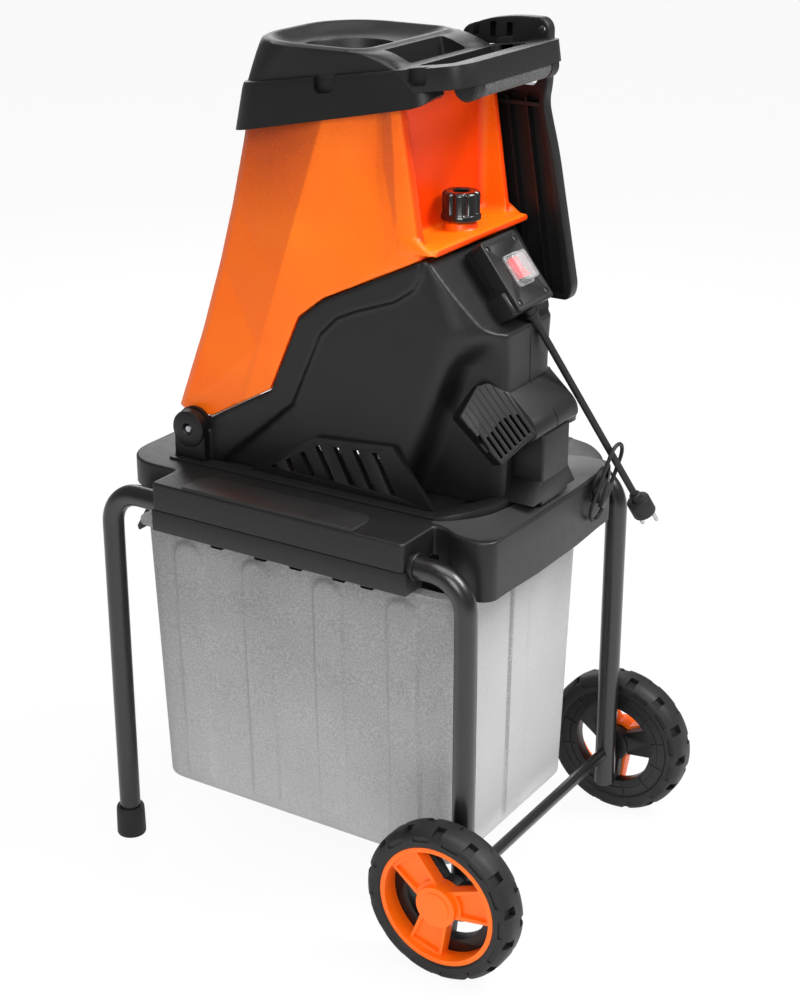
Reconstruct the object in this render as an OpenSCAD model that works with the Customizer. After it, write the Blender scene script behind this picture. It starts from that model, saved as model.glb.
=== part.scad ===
// Electric garden shredder on a tube stand with two wheels and a slide-out bin.
// Millimetres, +Z up, front (feet, hinge) at -X, rear (wheels, switch) at +X,
// left side at -Y. The origin is on the floor, under the middle of the stand.

/* [Stand] */
// Outside diameter of the leg tubes
tube_d = 22; // [18:1:26]
// Wall of the leg tubes
tube_wall = 1.5; // [1:0.25:3]
// Distance of each leg frame from the middle
leg_y = 152; // [148:1:162]
// Height of the top bars above the floor, at the tube's axis
bar_z = 399; // [370:1:430]
// Radius of the tube bends, at the tube's axis
bend_r = 36; // [30:1:48]
// Distance of the front legs from the middle
front_leg_x = 239.5; // [230:0.5:260]
// Height of the open lower ends of the rear legs
rear_end_z = 42; // [30:1:60]
// Diameter of a foot cap
foot_d = 31; // [28:1:40]
// Height of a foot cap
foot_h = 34; // [25:1:50]
// Thickness of a foot cap under its tube
foot_floor = 5; // [3:1:10]

/* [Wheels] */
// Radius of a wheel, and height of the axle
wheel_r = 80; // [72:1:90]
// Width of a wheel
wheel_w = 37; // [32:1:44]
// Distance of the axle behind the middle
axle_x = 175; // [165:1:185]
// Diameter of the axle
axle_d = 12; // [10:1:14]
// Gap between a rear leg and its wheel
wheel_gap = 4; // [3:0.5:8]
// Radius at which the tyre sits on the rim
rim_r = 62; // [56:1:66]
// Wall of the rim's barrel
rim_wall = 5; // [3:0.5:8]
// Radius of the hub
hub_r = 21; // [18:1:25]
// Depth of the hub's recess over the axle end
hub_cap_depth = 12; // [10:1:16]
// Distance of the spokes' face behind the wheel's outer face
spoke_set = 7; // [4:1:12]
// Depth of the wheel body behind its cover
core_z = 16; // [12:1:20]
// Depth of the pocket in a spoke
pocket_depth = 4; // [2:0.5:6]
// Number of tread lugs on each shoulder
lug_n = 14; // [10:1:18]
// Width of the gap between two lugs
lug_gap = 9; // [6:1:12]
// Depth of the gap between two lugs
lug_depth = 5; // [3:0.5:8]
// Length of the gap across the tread
lug_len = 15; // [10:1:17]

/* [Deck] */
// Half width of the deck between the tube exits
deck_hw = 168; // [166:1:180]
// Half width of the deck's ends
end_hw = 128; // [120:1:134]
// Length of the deck ahead of the middle
deck_front = 248; // [235:1:262]
// Length of the deck behind the middle
deck_rear = 188.5; // [182:0.5:196]
// Distance of the front tube exits ahead of the middle
exit_front = 175; // [165:1:190]
// Distance of the rear tube exits behind the middle
exit_rear = 120; // [105:1:130]
// Corner radius of the deck's front end
deck_r = 42; // [25:1:50]
// Corner radius of the deck's rear end
deck_rear_r = 16; // [8:1:30]
// Radius of the bow in the deck's rear wall
deck_bow_r = 950; // [700:10:1500]
// Height of the deck above its seam
deck_h = 28; // [26:1:34]
// Height of the clamp rails under the seam
rail_h = 23; // [20:1:30]
// Depth of the rear wall under the seam
rear_drop = 31; // [20:1:40]
// Wall of the deck
deck_wall = 4; // [3:0.5:6]
// Depth of the lip that the bin hangs on
lip_w = 8; // [6:0.5:10]

/* [Bin] */
// Height of the bin's floor
bin_z = 62; // [55:1:90]
// Half width of the bin under its rim
bin_hw = 128; // [120:1:129]
// Half width of the bin at its floor
bin_foot_hw = 118; // [105:1:124]
// Front end of the bin ahead of the middle
bin_front = 222; // [205:1:226]
// Rear end of the bin behind the middle
bin_rear = 148; // [125:1:152]
// Lengthwise draft of the bin from rim to floor
bin_draft = 6; // [3:1:12]
// Corner radius of the bin
bin_r = 18; // [12:1:30]
// Wall of the bin
bin_wall = 2.5; // [2:0.25:4]
// Number of raised ribs on each long side
rib_n = 4; // [3:1:5]
// Width of a raised rib
rib_w = 34; // [24:1:44]
// Distance from rib to rib
rib_pitch = 85; // [75:1:92]
// Height of a raised rib over the wall
rib_h = 2; // [1:0.5:4]
// Distance of the ribs' arched tops under the rim
rib_drop = 11; // [6:1:30]
// Length of the pull in front of the bin
pull_len = 20; // [16:1:26]
// Half width of the pull
pull_hw = 110; // [60:1:120]

/* [Housing] */
// Half width of the housing
body_hw = 88; // [84:1:92]
// Depth of the side panels behind their raised border
panel_in = 5; // [3:0.5:7]
// Wall of the housing
shell = 4; // [3:0.5:5]
// Front end of the housing ahead of the middle
body_front = 200; // [196:1:204]
// Rear end of the wide part behind the middle
body_rear = 100; // [96:1:106]
// Height of the parting line at the rear, above the deck
part_h = 240; // [235:1:255]
// Half width of the rear tower
tower_hw = 41; // [38:1:46]
// Rear wall of the tower behind the middle
tower_x = 152; // [146:1:156]
// Height of the tower's step above the deck
step_h = 115; // [105:1:125]
// Rear wall of the motor nose behind the middle
nose_x = 183; // [178:1:186]
// Half width of the vent cheeks at the deck
cheek_hw = 74; // [66:1:78]
// Height of the vent cheeks' lower edge above the deck
cheek_low = 40; // [30:1:48]
// Half width of the motor nose under its overhang
nose_foot_hw = 28; // [24:1:36]
// Number of slots in a vent cheek
vent_n = 6; // [4:1:7]
// Width of a vent slot
vent_w = 3; // [2:0.5:3.5]
// Number of louvres in a side grille
louvre_n = 7; // [5:1:9]
// Width of the gap between two louvres
louvre_gap = 7; // [5:0.5:9]

/* [Hinge] */
// Hinge axis ahead of the middle
hinge_x = 181; // [176:1:186]
// Hinge axis above the deck
hinge_h = 33; // [32:1:38]
// Radius of a hinge boss
boss_r = 19; // [16:1:22]
// Thickness of a hinge boss
boss_t = 12; // [9:1:15]
// Diameter of a hinge pin
pin_d = 8; // [6:1:10]
// Swing room round the hinge axis
swing_r = 34.5; // [34:0.5:36]

/* [Hopper] */
// Height of the hopper's sloping top above the deck, over the origin
hopper_h = 393; // [380:1:405]
// Wall of the hopper
hopper_wall = 3.5; // [3:0.5:5]
// Depth of the knob recess, as its wall behind the middle
recess_x = 52; // [48:1:54]
// Width of the columns beside the knob recess
recess_rim = 13; // [10:1:20]
// Height of the knob ledge above the parting line
ledge_rise = 6; // [4:0.5:10]
// Thickness of the knob ledge
ledge_t = 6; // [4:0.5:8]

/* [Funnel] */
// Slope of the funnel's collar, rising to the rear
collar_tilt = 9; // [6:0.5:12]
// Front end of the collar ahead of the middle
collar_front = 138; // [132:1:146]
// Rear end of the collar behind the middle
collar_rear = 100; // [92:1:106]
// Height of the collar's wall
collar_h = 39; // [32:1:46]
// Wall of the collar at its upper edge
collar_wall = 3.5; // [2.5:0.5:5]
// Height of the mouth's rim above the hopper's top
mouth_rise = 29; // [24:1:36]
// Half width of the mouth
mouth_hw = 80; // [72:1:86]
// Front of the mouth ahead of the middle
mouth_front = 112; // [104:1:120]
// Rear edge of the mouth behind the middle
mouth_rear = 20; // [12:1:28]
// Radius of the feed throat
throat_r = 44; // [36:1:50]
// Rear face of the carrying handle behind the middle
handle_x = 129; // [122:1:136]
// Width of the carrying handle's bar
bar_w = 27; // [22:1:32]
// Thickness of the carrying handle
bar_t = 20; // [16:1:24]
// Half length of the grip under the bar
grip_hl = 75; // [60:1:82]
// Radius of the grip
grip_r = 11; // [9:0.5:13]
// Width of the two notches in each side of the collar
notch_w = 18; // [14:1:22]
// Depth of the notches
notch_d = 14; // [10:1:17]

/* [Plunger] */
// Thickness of the plunger
plunger_t = 13; // [11:1:18]
// Wall of the plunger
plunger_wall = 3; // [2.5:0.5:4]
// Width of the plunger's blade
plunger_w = 98; // [90:1:100]
// Length of the plunger
plunger_l = 267; // [240:1:290]
// Height of the plunger's grip above the hopper's top
plunger_rise = 42; // [36:1:50]
// Height of the plunger's grip bar
grip_bar_h = 25; // [22:1:30]

/* [Lock] */
// Lock knob behind the middle
knob_x = 75; // [73:1:78]
// Radius of the lock knob
knob_r = 19; // [16:1:20]
// Height of the lock knob
knob_h = 27; // [24:1:34]
// Number of flutes round the knob
flute_n = 8; // [6:1:10]
// Diameter of the lock stud
stud_d = 8; // [6:1:10]

/* [Switch] */
// Slope of the switch plate
switch_tilt = 52; // [48:1:56]
// Length of the switch plate down its slope
switch_l = 73; // [68:1:78]
// Width of the switch plate
switch_w = 64; // [58:1:68]
// Depth of the switch box behind its plate
switch_d = 24; // [20:1:28]
// Thickness of the switch plate
plate_t = 3; // [2:0.5:4]
// Length of the clear cover
cover_l = 33; // [30:1:44]
// Width of the clear cover
cover_w = 29; // [27:1:40]
// Height of the clear cover over the plate
cover_h = 11; // [9:0.5:13]
// Length of the rocker
rocker_l = 22; // [18:1:25]
// Width of the rocker
rocker_w = 17; // [14:1:20]

/* [Cutter] */
// Rotor axis behind the middle, at the blade disc
rotor_x = 20; // [14:1:26]
// Blade disc below the rear of the parting line
rotor_drop = 74; // [68:1:80]
// Slope of the blade disc
rotor_tilt = 27; // [24:1:30]
// Radius of the blade disc
disc_r = 66; // [56:1:70]
// Thickness of the blade disc
disc_t = 6; // [5:1:9]
// Diameter of the motor shaft
shaft_d = 14; // [10:1:16]
// Outer radius of the motor
motor_r = 40; // [36:1:42]
// Length of the motor
motor_l = 104; // [90:1:108]
// Half width of the motor plate along its slope
plate_hl = 62; // [54:1:64]

/* [Cord] */
// Diameter of the cord
cord_d = 7; // [6:0.5:8]
// Diameter of the plug
plug_d = 24; // [22:1:38]
// Length of the plug's body
plug_l = 19; // [16:1:28]
// Diameter of a plug pin
plug_pin_d = 4; // [3.5:0.1:5]
// Distance between the plug pins
plug_pin_gap = 15; // [13:0.5:17]
// Length of a plug pin
plug_pin_l = 14; // [12:1:22]
// Length of the cord gland
gland_l = 20; // [20:1:40]
// Wire of the cord loop
loop_d = 4; // [3:0.5:5]
// Length of the cord loop
loop_l = 80; // [72:1:92]
// Width of the cord loop, inside
loop_w = 24; // [20:1:26]

/* [Clearances] */
// Radial room of a running shaft
run = 0.05; // [0.02:0.01:0.09]
// Room between pieces that are fitted together
fit = 0.15; // [0.1:0.05:0.3]
// Room between pieces that move past each other
slack = 0.5; // [0.3:0.1:0.8]

/* [Hidden] */

$fn = 64;
eps = 1;
big = 400;
black = [0.09, 0.09, 0.09];
orange = [1, 0.42, 0.05];
steel = [0.7, 0.71, 0.73];
rubber = [0.06, 0.06, 0.06];

seam_z = bar_z - 2;
deck_z = seam_z + deck_h;
tube_r = tube_d / 2;
bore_r = axle_d / 2 + run;
wheel_in = leg_y + tube_r + wheel_gap;
hub_len = wheel_w - hub_cap_depth;
axle_out = wheel_in + hub_len + 5;
rail_in = leg_y - tube_r - 2;
rim_t = 4;
rail_z = seam_z - rail_h;
bin_rim_z = seam_z - rear_drop - 2 * slack;
flange_z = bin_rim_z - rim_t;
lip_z = flange_z - slack - rim_t;
bin_flange = rail_in - bin_hw - slack;
panel_hw = body_hw - panel_in;
inner_hw = panel_hw - shell;
recess_hw = body_hw - recess_rim;
rotor_h = part_h - rotor_drop;
hopper_top = deck_z + hopper_h;
mouth_z = hopper_top + mouth_rise;
plunger_top = hopper_top + plunger_rise;
plunger_low = plunger_top - plunger_l;

// Outlines in the x, height plane, with heights above the deck
part_x = body_rear - 16;
parting = [[part_x, part_h], [-23, part_h - 51], [-51, part_h - 73], [-86, part_h - 152],
  [-168, part_h - 198], [-body_front + 4, part_h - 212]];
tower_top_x = body_rear - 12;
slope_h = part_h - (body_rear - tower_top_x) * tan(switch_tilt);
house_side = concat([[-body_front, 0], [body_rear, 0], [body_rear, slope_h],
  [tower_top_x, part_h]], parting);
house_cut = concat([[-body_front, 0], [big, 0], [big, part_h]], parting);
panel_side = [[-150, -eps], [body_rear + eps, -eps], [body_rear + eps, part_h - 28], [12, part_h - 58],
  [-9, part_h - 68], [-27, part_h - 86], [-61, part_h - 162], [-70, part_h - 170]];
roof_x = recess_x - 4;
roof_h = part_h - 51 * (part_x - roof_x) / (part_x + 23);
tower_side = [[roof_x, 0], [tower_x, 0], [tower_x, part_h - (tower_x - tower_top_x) * tan(switch_tilt)],
  [tower_top_x, part_h], [part_x, part_h], [roof_x, roof_h]];
tower_x1 = body_rear - 30;
tower_x2 = body_rear + 4;
tower_x3 = body_rear + 26;
tower_y2 = tower_hw + 25;
tower_plan = [[roof_x, -panel_hw], [tower_x1, -panel_hw], [tower_x2, -tower_y2], [tower_x3, -tower_hw - 6],
  [tower_x - 8, -tower_hw], [tower_x, -tower_hw + 8], [tower_x, tower_hw - 8], [tower_x - 8, tower_hw],
  [tower_x3, tower_hw + 6], [tower_x2, tower_y2], [tower_x1, panel_hw], [roof_x, panel_hw]];
step_run = nose_x - tower_x - 4;
step_fall = step_run * 0.84;
nose_edge_h = step_h - step_fall - 15;
nose_side = [[roof_x, nose_edge_h - 7], [nose_x - 7, nose_edge_h - 7], [nose_x, nose_edge_h],
  [nose_x, step_h - step_fall - 9], [nose_x - 4, step_h - step_fall], [tower_x, step_h], [roof_x, step_h]];
nose_foot_x = nose_x - 7;
nose_foot_h = step_h - step_fall;
nose_foot_side = [[roof_x, 0], [nose_foot_x, 0], [nose_foot_x, nose_foot_h], [roof_x, nose_foot_h]];
// Hollow beside the tower, behind the slanting rear edge of a side panel
cut_hw = tower_hw + 21;
cut_foot = 54;
cut_lean = 0.372;
cut_h = part_h - 68;
cut_side = [[cut_foot, -big], [big, -big], [big, cut_h], [cut_foot + cut_lean * cut_h, cut_h],
  [cut_foot, 0]];
cheek_front = 80;
cheek_inside = [[cheek_front + 10, 16], [nose_x - 6, cheek_low - 14], [nose_x - 6, step_h - step_fall - 4],
  [tower_x - 2, step_h - 3], [cheek_front + 10, step_h - 3]];
cheek_outside = [[cheek_front, cheek_low], [tower_x + 5, cheek_low - 3], [tower_x + 6, cheek_low + 2],
  [tower_x - 14, cheek_low + 30], [cheek_front, cheek_low + 52]];
grille_side = [[-111, 2], [body_rear, 2], [56, 57], [-33, 50]];
window_side = [[-88, 9], [82, 9], [50, 49], [-29, 43]];

function unit(v) = v / norm(v);
// A closed outline, counter-clockwise, drawn in by d (or out by -d)
function inset(p, d) = [for (i = [0:len(p) - 1])
  let (a = p[(i + len(p) - 1) % len(p)], b = p[i], c = p[(i + 1) % len(p)],
       u = unit(b - a), v = unit(c - b), m = [-u.y, u.x], n = [-v.y, v.x])
  b + d * (m + n) / (1 + m * n)];

module on_deck() translate([0, 0, deck_z]) children();
// Outline in the x, height plane, spread evenly to both sides
module side_prism(hw) rotate([90, 0, 0]) linear_extrude(2 * hw, center = true) children();
// Outline in the x, height plane, from distance a to b left of the middle
module left_slab(a, b) translate([0, -a, 0]) rotate([90, 0, 0]) linear_extrude(b - a) children();
module right() mirror([0, 1, 0]) children();
module both() { children(); right() children(); }
module rod_y(r, a, b) translate([0, -a, 0]) rotate([90, 0, 0]) cylinder(r = r, h = b - a);
module plan_rect(x0, x1, hw, r) {
  translate([x0 + r, -hw]) square([x1 - x0 - 2 * r, 2 * hw]);
  translate([x0, -hw + r]) square([x1 - x0, 2 * hw - 2 * r]);
  for (x = [x0 + r, x1 - r], y = [-hw + r, hw - r]) translate([x, y]) circle(r);
}

// Stand
module leg_path(r, over) {
  translate([-front_leg_x, 0, foot_floor - over]) cylinder(r = r, h = bar_z - bend_r - foot_floor + over);
  translate([axle_x, 0, rear_end_z - over]) cylinder(r = r, h = bar_z - bend_r - rear_end_z + over);
  translate([-front_leg_x + bend_r, 0, bar_z]) rotate([0, 90, 0])
    cylinder(r = r, h = front_leg_x + axle_x - 2 * bend_r);
  translate([-front_leg_x + bend_r, 0, bar_z - bend_r]) rotate([90, 0, 0]) rotate([0, 0, 90])
    rotate_extrude(angle = 90) translate([bend_r, 0]) circle(r);
  translate([axle_x - bend_r, 0, bar_z - bend_r]) rotate([90, 0, 0])
    rotate_extrude(angle = 90) translate([bend_r, 0]) circle(r);
}
leg_screw_d = 5;
leg_screw_x = [-exit_front + 45, exit_rear - 45];
module leg_screw_holes() for (x = leg_screw_x) translate([x, -leg_y, rail_z - eps])
  cylinder(d = leg_screw_d + 2 * fit, h = bar_z + tube_r + 6 - rail_z + eps);
module leg_frame() color(black) difference() {
  translate([0, -leg_y, 0]) leg_path(tube_r, 0);
  translate([0, -leg_y, 0]) leg_path(tube_r - tube_wall, eps);
  translate([axle_x, 0, wheel_r]) rod_y(axle_d / 2 + fit, leg_y - tube_d, leg_y + tube_d);
  leg_screw_holes();
}
module left_leg_frame() leg_frame();
module right_leg_frame() right() leg_frame();
module foot() color(rubber) translate([-front_leg_x, -leg_y, 0]) difference() {
  rotate_extrude()
    polygon([[0, 0], [foot_d / 2 - 2, 0], [foot_d / 2, 2], [foot_d / 2 - 1, foot_h], [0, foot_h]]);
  translate([0, 0, foot_floor]) cylinder(r = tube_r + fit, h = foot_h);
}
module left_foot() foot();
module right_foot() right() foot();

// Wheels, with the axle along Y
module axle() color(black) translate([axle_x, 0, wheel_r]) rotate([90, 0, 0])
  cylinder(d = axle_d, h = 2 * axle_out, center = true);
nut_t = 3;
nut_w = 3;
module axle_nuts() color(steel) both() translate([axle_x, 0, wheel_r]) difference() {
  rod_y(axle_d / 2 + nut_w, wheel_in + hub_len + slack, wheel_in + hub_len + slack + nut_t);
  rod_y(axle_d / 2 + fit, 0, big);
}
module at_wheel() translate([axle_x, -wheel_in, wheel_r]) rotate([90, 0, 0]) children();
tyre_edge = 8;
module tyre() color(rubber) at_wheel() difference() {
  rotate_extrude() polygon([[rim_r, 2], [rim_r + 4, 0], [wheel_r - tyre_edge, 0], [wheel_r, tyre_edge],
    [wheel_r, wheel_w - tyre_edge], [wheel_r - tyre_edge, wheel_w], [rim_r + 4, wheel_w],
    [rim_r, wheel_w - 2]]);
  for (i = [0:lug_n - 1]) {
    rotate([0, 0, 360 * i / lug_n]) translate([wheel_r - lug_depth, -lug_gap / 2, -eps])
      cube([2 * lug_depth, lug_gap, lug_len + eps]);
    rotate([0, 0, 360 * (i + 0.5) / lug_n])
      translate([wheel_r - lug_depth, -lug_gap / 2, wheel_w - lug_len])
        cube([2 * lug_depth, lug_gap, lug_len + eps]);
  }
}
module left_tyre() tyre();
module right_tyre() right() tyre();
spoke_hub_hw = 14;
spoke_rim_hw = 19;
// Turn of the wheel that puts one spoke up and to the front
spoke_turn = -45;
core_in = 44;
cover_z = core_z + fit;
module spoke_outline(d, out) polygon([[hub_r - 8 + d, -spoke_hub_hw + d], [out - 2 * d, -spoke_rim_hw + d],
  [out - 2 * d, spoke_rim_hw - d], [hub_r - 8 + d, spoke_hub_hw - d]]);
module spokes() for (a = [60, 180, 300]) rotate([0, 0, a]) children();
// Wheel body that carries the tyre and turns on the axle
module rim() color(black) at_wheel() rotate([0, 0, spoke_turn]) difference() {
  union() {
    difference() {
      translate([0, 0, 2]) cylinder(r = rim_r - fit, h = core_z - 2);
      translate([0, 0, -eps]) cylinder(r = core_in, h = wheel_w);
    }
    cylinder(r = hub_r - 3, h = core_z);
    cylinder(r = hub_r - 8, h = hub_len);
    spokes() translate([0, 0, 3]) linear_extrude(core_z - 4) spoke_outline(2, core_in + 8);
  }
  translate([0, 0, -eps]) cylinder(r = bore_r, h = wheel_w);
}
module left_rim() rim();
module right_rim() right() rim();
// Dished cover clipped to the wheel body, with a cap over the axle end
module wheel_cover() color(orange) at_wheel() rotate([0, 0, spoke_turn]) difference() {
  union() {
    difference() {
      translate([0, 0, cover_z]) cylinder(r = rim_r - fit, h = wheel_w - 2 - cover_z);
      translate([0, 0, -eps]) cylinder(r = rim_r - rim_wall, h = wheel_w + 2 * eps);
    }
    translate([0, 0, cover_z]) cylinder(r = hub_r, h = wheel_w - cover_z - 1);
    translate([0, 0, cover_z]) cylinder(r = hub_r - 6, h = wheel_w - cover_z);
    spokes() difference() {
      translate([0, 0, cover_z + 1]) linear_extrude(wheel_w - spoke_set - cover_z - 1) intersection() {
        circle(rim_r - rim_wall / 2);
        spoke_outline(0, rim_r);
      }
      translate([0, 0, wheel_w - spoke_set - pocket_depth])
        linear_extrude(pocket_depth + eps) difference() {
        spoke_outline(4, rim_r - rim_wall / 2);
        circle(hub_r + 4);
      }
    }
  }
  translate([0, 0, -eps]) cylinder(r = hub_r - 8 + slack, h = hub_len + eps);
  translate([0, 0, -eps]) cylinder(r = axle_d / 2 + 4, h = wheel_w - 4 + eps);
}
module left_wheel_cover() wheel_cover();
module right_wheel_cover() right() wheel_cover();

// Deck and the rails that clamp the tubes to it
module end_plan(d) intersection() {
  union() {
    plan_rect(-deck_front + d, deck_r, end_hw - d, deck_r - d);
    plan_rect(-exit_front, deck_rear - d, end_hw - d, deck_rear_r - d);
  }
  translate([deck_rear - deck_bow_r, 0]) circle(deck_bow_r - d, $fn = 360);
}
module deck_plan(d) {
  translate([-exit_front + d, -deck_hw + d]) square([exit_front + exit_rear - 2 * d, 2 * (deck_hw - d)]);
  end_plan(d);
}
// Cover over the right tube where it leaves the deck
wing_z = bar_z + tube_r + 3;
wing_plan = [[exit_rear - deck_r, end_hw - deck_r], [deck_rear - 6, end_hw - 28],
  [exit_rear + 49, end_hw + 2], [exit_rear + 34, end_hw + 20], [exit_rear + 17, deck_hw - 7],
  [exit_rear - 8, deck_hw - 1], [exit_rear - deck_r, deck_hw - 1]];
module tube_channel() both() translate([0, -leg_y, bar_z]) rotate([0, 90, 0])
  cylinder(r = tube_r + fit, h = 2 * big, center = true);
chip_x = [-150, 40];
chip_hw = 70;
module deck() color(black) difference() {
  union() {
    translate([0, 0, seam_z]) linear_extrude(wing_z + eps - seam_z) deck_plan(0);
    translate([0, 0, wing_z]) linear_extrude(deck_z - wing_z) {
      deck_plan(0);
      polygon(wing_plan);
    }
    translate([0, 0, seam_z - rear_drop]) linear_extrude(rear_drop + eps) intersection() {
      end_plan(0);
      translate([exit_rear + deck_wall, -end_hw]) square([big, 2 * end_hw]);
    }
  }
  translate([0, 0, seam_z - eps]) linear_extrude(deck_h - deck_wall + eps) {
    end_plan(deck_wall);
    translate([-exit_front + deck_wall, -rail_in])
      square([exit_front + exit_rear - 2 * deck_wall, 2 * rail_in]);
  }
  translate([0, 0, seam_z - rear_drop - eps]) linear_extrude(rear_drop + 2 * eps)
    end_plan(deck_wall);
  translate([chip_x[0], -chip_hw, deck_z - 2 * deck_wall])
    cube([chip_x[1] - chip_x[0], 2 * chip_hw, 3 * deck_wall]);
  tube_channel();
  both() leg_screw_holes();
}
screw_head_h = 4;
screw_head_r = 5;
rail_l = exit_front + exit_rear;
module clamp_rail() color(black) difference() {
  union() {
    translate([-exit_front, -deck_hw, rail_z]) cube([rail_l, deck_hw - rail_in, rail_h]);
    translate([-exit_front, -rail_in - rim_t, lip_z]) cube([rail_l, rim_t, seam_z - lip_z]);
    translate([-exit_front, -rail_in - eps, lip_z]) cube([rail_l, lip_w + eps, rim_t]);
  }
  tube_channel();
  leg_screw_holes();
  for (x = leg_screw_x) translate([x, -leg_y, rail_z - eps])
    cylinder(r = screw_head_r + fit, h = screw_head_h + eps);
}
module left_clamp_rail() clamp_rail();
module right_clamp_rail() right() clamp_rail();
module leg_screws() color(steel) both() for (x = leg_screw_x) translate([x, -leg_y, rail_z]) {
  cylinder(r = screw_head_r, h = screw_head_h);
  cylinder(d = leg_screw_d, h = bar_z + tube_r + 4 - rail_z);
}

// Bin that hangs on the rails and slides out to the front
module bin_form(d, z0, z1) hull() {
  translate([0, 0, z0]) linear_extrude(1)
    plan_rect(-bin_front + bin_draft + d, bin_rear - bin_draft - d, bin_foot_hw - d, bin_r - d, $fn = 32);
  translate([0, 0, z1 - 1]) linear_extrude(1)
    plan_rect(-bin_front + d, bin_rear - d, bin_hw - d, bin_r - d, $fn = 32);
}
end_flange = 3;
rib_z0 = bin_z + 12;
rib_top = flange_z - rib_drop;
rib_mid = (bin_rear - bin_front) / 2;
module rib_face() {
  translate([-rib_w / 2, rib_z0]) square([rib_w, rib_top - rib_w / 2 - rib_z0]);
  translate([0, rib_top - rib_w / 2]) circle(rib_w / 2);
}
module bin() color([0.85, 0.86, 0.87, 0.8]) difference() {
  union() {
    bin_form(0, bin_z, flange_z);
    intersection() {
      bin_form(-rib_h, bin_z, flange_z);
      union() {
        for (i = [0:rib_n - 1]) translate([rib_mid + (i - (rib_n - 1) / 2) * rib_pitch, 0, 0])
          side_prism(bin_hw + 2 * rib_h) rib_face();
        rotate([0, 0, 90]) side_prism(bin_front + bin_rear) rib_face();
      }
    }
    translate([0, 0, flange_z]) linear_extrude(rim_t)
      plan_rect(-bin_front - end_flange, bin_rear + end_flange, bin_hw + bin_flange, bin_r);
  }
  bin_form(bin_wall, bin_z + bin_wall, bin_rim_z + eps);
}
module bin_pull() color(black) left_slab(-pull_hw, pull_hw) translate([-bin_front - end_flange, bin_rim_z])
  polygon([[0, 0], [-7, 0], [-pull_len, -22], [-pull_len + 2, -27], [0, -15]]);

// Chopper housing in two halves that meet on the middle plane
module tower_form(d) intersection() {
  linear_extrude(part_h + eps) polygon(inset(tower_plan, d));
  side_prism(big) polygon(inset(tower_side, d));
}
module at_hinge() translate([-hinge_x, 0, hinge_h]) children();
cheek_in = 10;
module cheek_form(d) hull() {
  left_slab(tower_hw - cheek_in, tower_hw - 8) polygon(inset(cheek_inside, d));
  left_slab(cheek_hw - 1 - d, cheek_hw - d) polygon(inset(cheek_outside, d));
}
module rear_cut(d) both() left_slab(cut_hw - d, big) polygon(inset(cut_side, -d));
vent_pitch = (cheek_hw - tower_hw - 2) / vent_n;
vent_l = 34;
vent_fall = 5;
module vent_slots() for (i = [0:vent_n - 1])
  translate([tower_x - 6, -tower_hw - 1 - (i + 0.5) * vent_pitch, step_h - 12 - i * vent_fall])
    rotate([0, 40, 0]) translate([0, -vent_w / 2, -40]) cube([vent_l, vent_w, 60]);
house_hollow = [[-body_front + shell, -eps], [body_rear - shell, -eps],
  [body_rear - shell, slope_h - shell], [part_x, part_h - shell], [roof_x + shell, roof_h - shell],
  [roof_x + shell, big], [-body_front + shell, big]];
boss_foot = [[-hinge_x - boss_r, 0], [-hinge_x + boss_r, 0], [-hinge_x + boss_r, hinge_h],
  [-hinge_x - boss_r, hinge_h]];
lock_boss_r = 13;
insert_r = 8;
insert_h = 14;
module housing_half() color(black) on_deck() difference() {
  intersection() {
    union() {
      difference() {
        union() {
          difference() {
            union() {
              side_prism(panel_hw) polygon(house_side);
              left_slab(panel_hw - eps, body_hw) difference() {
                polygon(house_side);
                polygon(panel_side);
              }
              tower_form(0);
            }
            rear_cut(0);
          }
          side_prism(tower_hw) polygon(nose_side);
          side_prism(nose_foot_hw) polygon(nose_foot_side);
          cheek_form(0);
        }
        // hollow under the hopper and behind the switch
        difference() {
          union() {
            side_prism(inner_hw) polygon(house_hollow);
            tower_form(shell);
            translate([roof_x, -tower_hw + shell, -eps])
              cube([tower_x - roof_x - shell, 2 * (tower_hw - shell), 2 * shell]);
          }
          rear_cut(shell);
        }
        side_prism(tower_hw - shell) polygon(inset(nose_side, shell));
        translate([0, 0, -2 * shell]) side_prism(nose_foot_hw - shell)
          polygon(inset(nose_foot_side, shell));
        cheek_form(shell);
        left_slab(inner_hw - eps, body_hw + eps) polygon(window_side);
        vent_slots();
        at_hinge() rod_y(swing_r, -inner_hw, body_hw - 2);
      }
      // trough round the hopper's knuckles, and the hinge boss
      intersection() {
        at_hinge() difference() {
          rod_y(swing_r + shell, -inner_hw, body_hw - 2);
          rod_y(swing_r, -inner_hw - eps, body_hw);
        }
        side_prism(body_hw) polygon(house_side);
      }
      at_hinge() rod_y(boss_r, body_hw - 2, body_hw + boss_t);
      left_slab(body_hw - 2, body_hw + boss_t - 2) polygon(boss_foot);
      translate([knob_x, 0, part_h - insert_h - shell]) cylinder(r = lock_boss_r, h = insert_h + shell);
    }
    translate([-big, -big, 0]) cube([2 * big, big, big]);
  }
  at_hinge() rod_y(pin_d / 2 + fit, body_hw - 3, body_hw + boss_t + eps);
  at_hinge() rod_y(pin_d / 2 + 4, body_hw + boss_t - 3, body_hw + boss_t + eps);
  translate([knob_x, 0, part_h - insert_h]) cylinder(r = insert_r + fit, h = insert_h + eps);
}
module left_housing() housing_half();
module right_housing() difference() {
  right() housing_half();
  on_deck() housing_screw_form(fit);
}
house_screw_r = 2.5;
house_screw_at = [[-120, 20], [-20, part_h - 140], [60, part_h - 50]];
module housing_screw_form(d) for (p = house_screw_at) translate([p.x, panel_hw, p.y]) rotate([90, 0, 0]) {
  translate([0, 0, -eps]) cylinder(r = 2 * house_screw_r + d, h = 2 + eps);
  cylinder(r = house_screw_r + d, h = shell + 10);
}
module housing_screws() color(steel) on_deck() housing_screw_form(0);
grille_t = 6;
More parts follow.
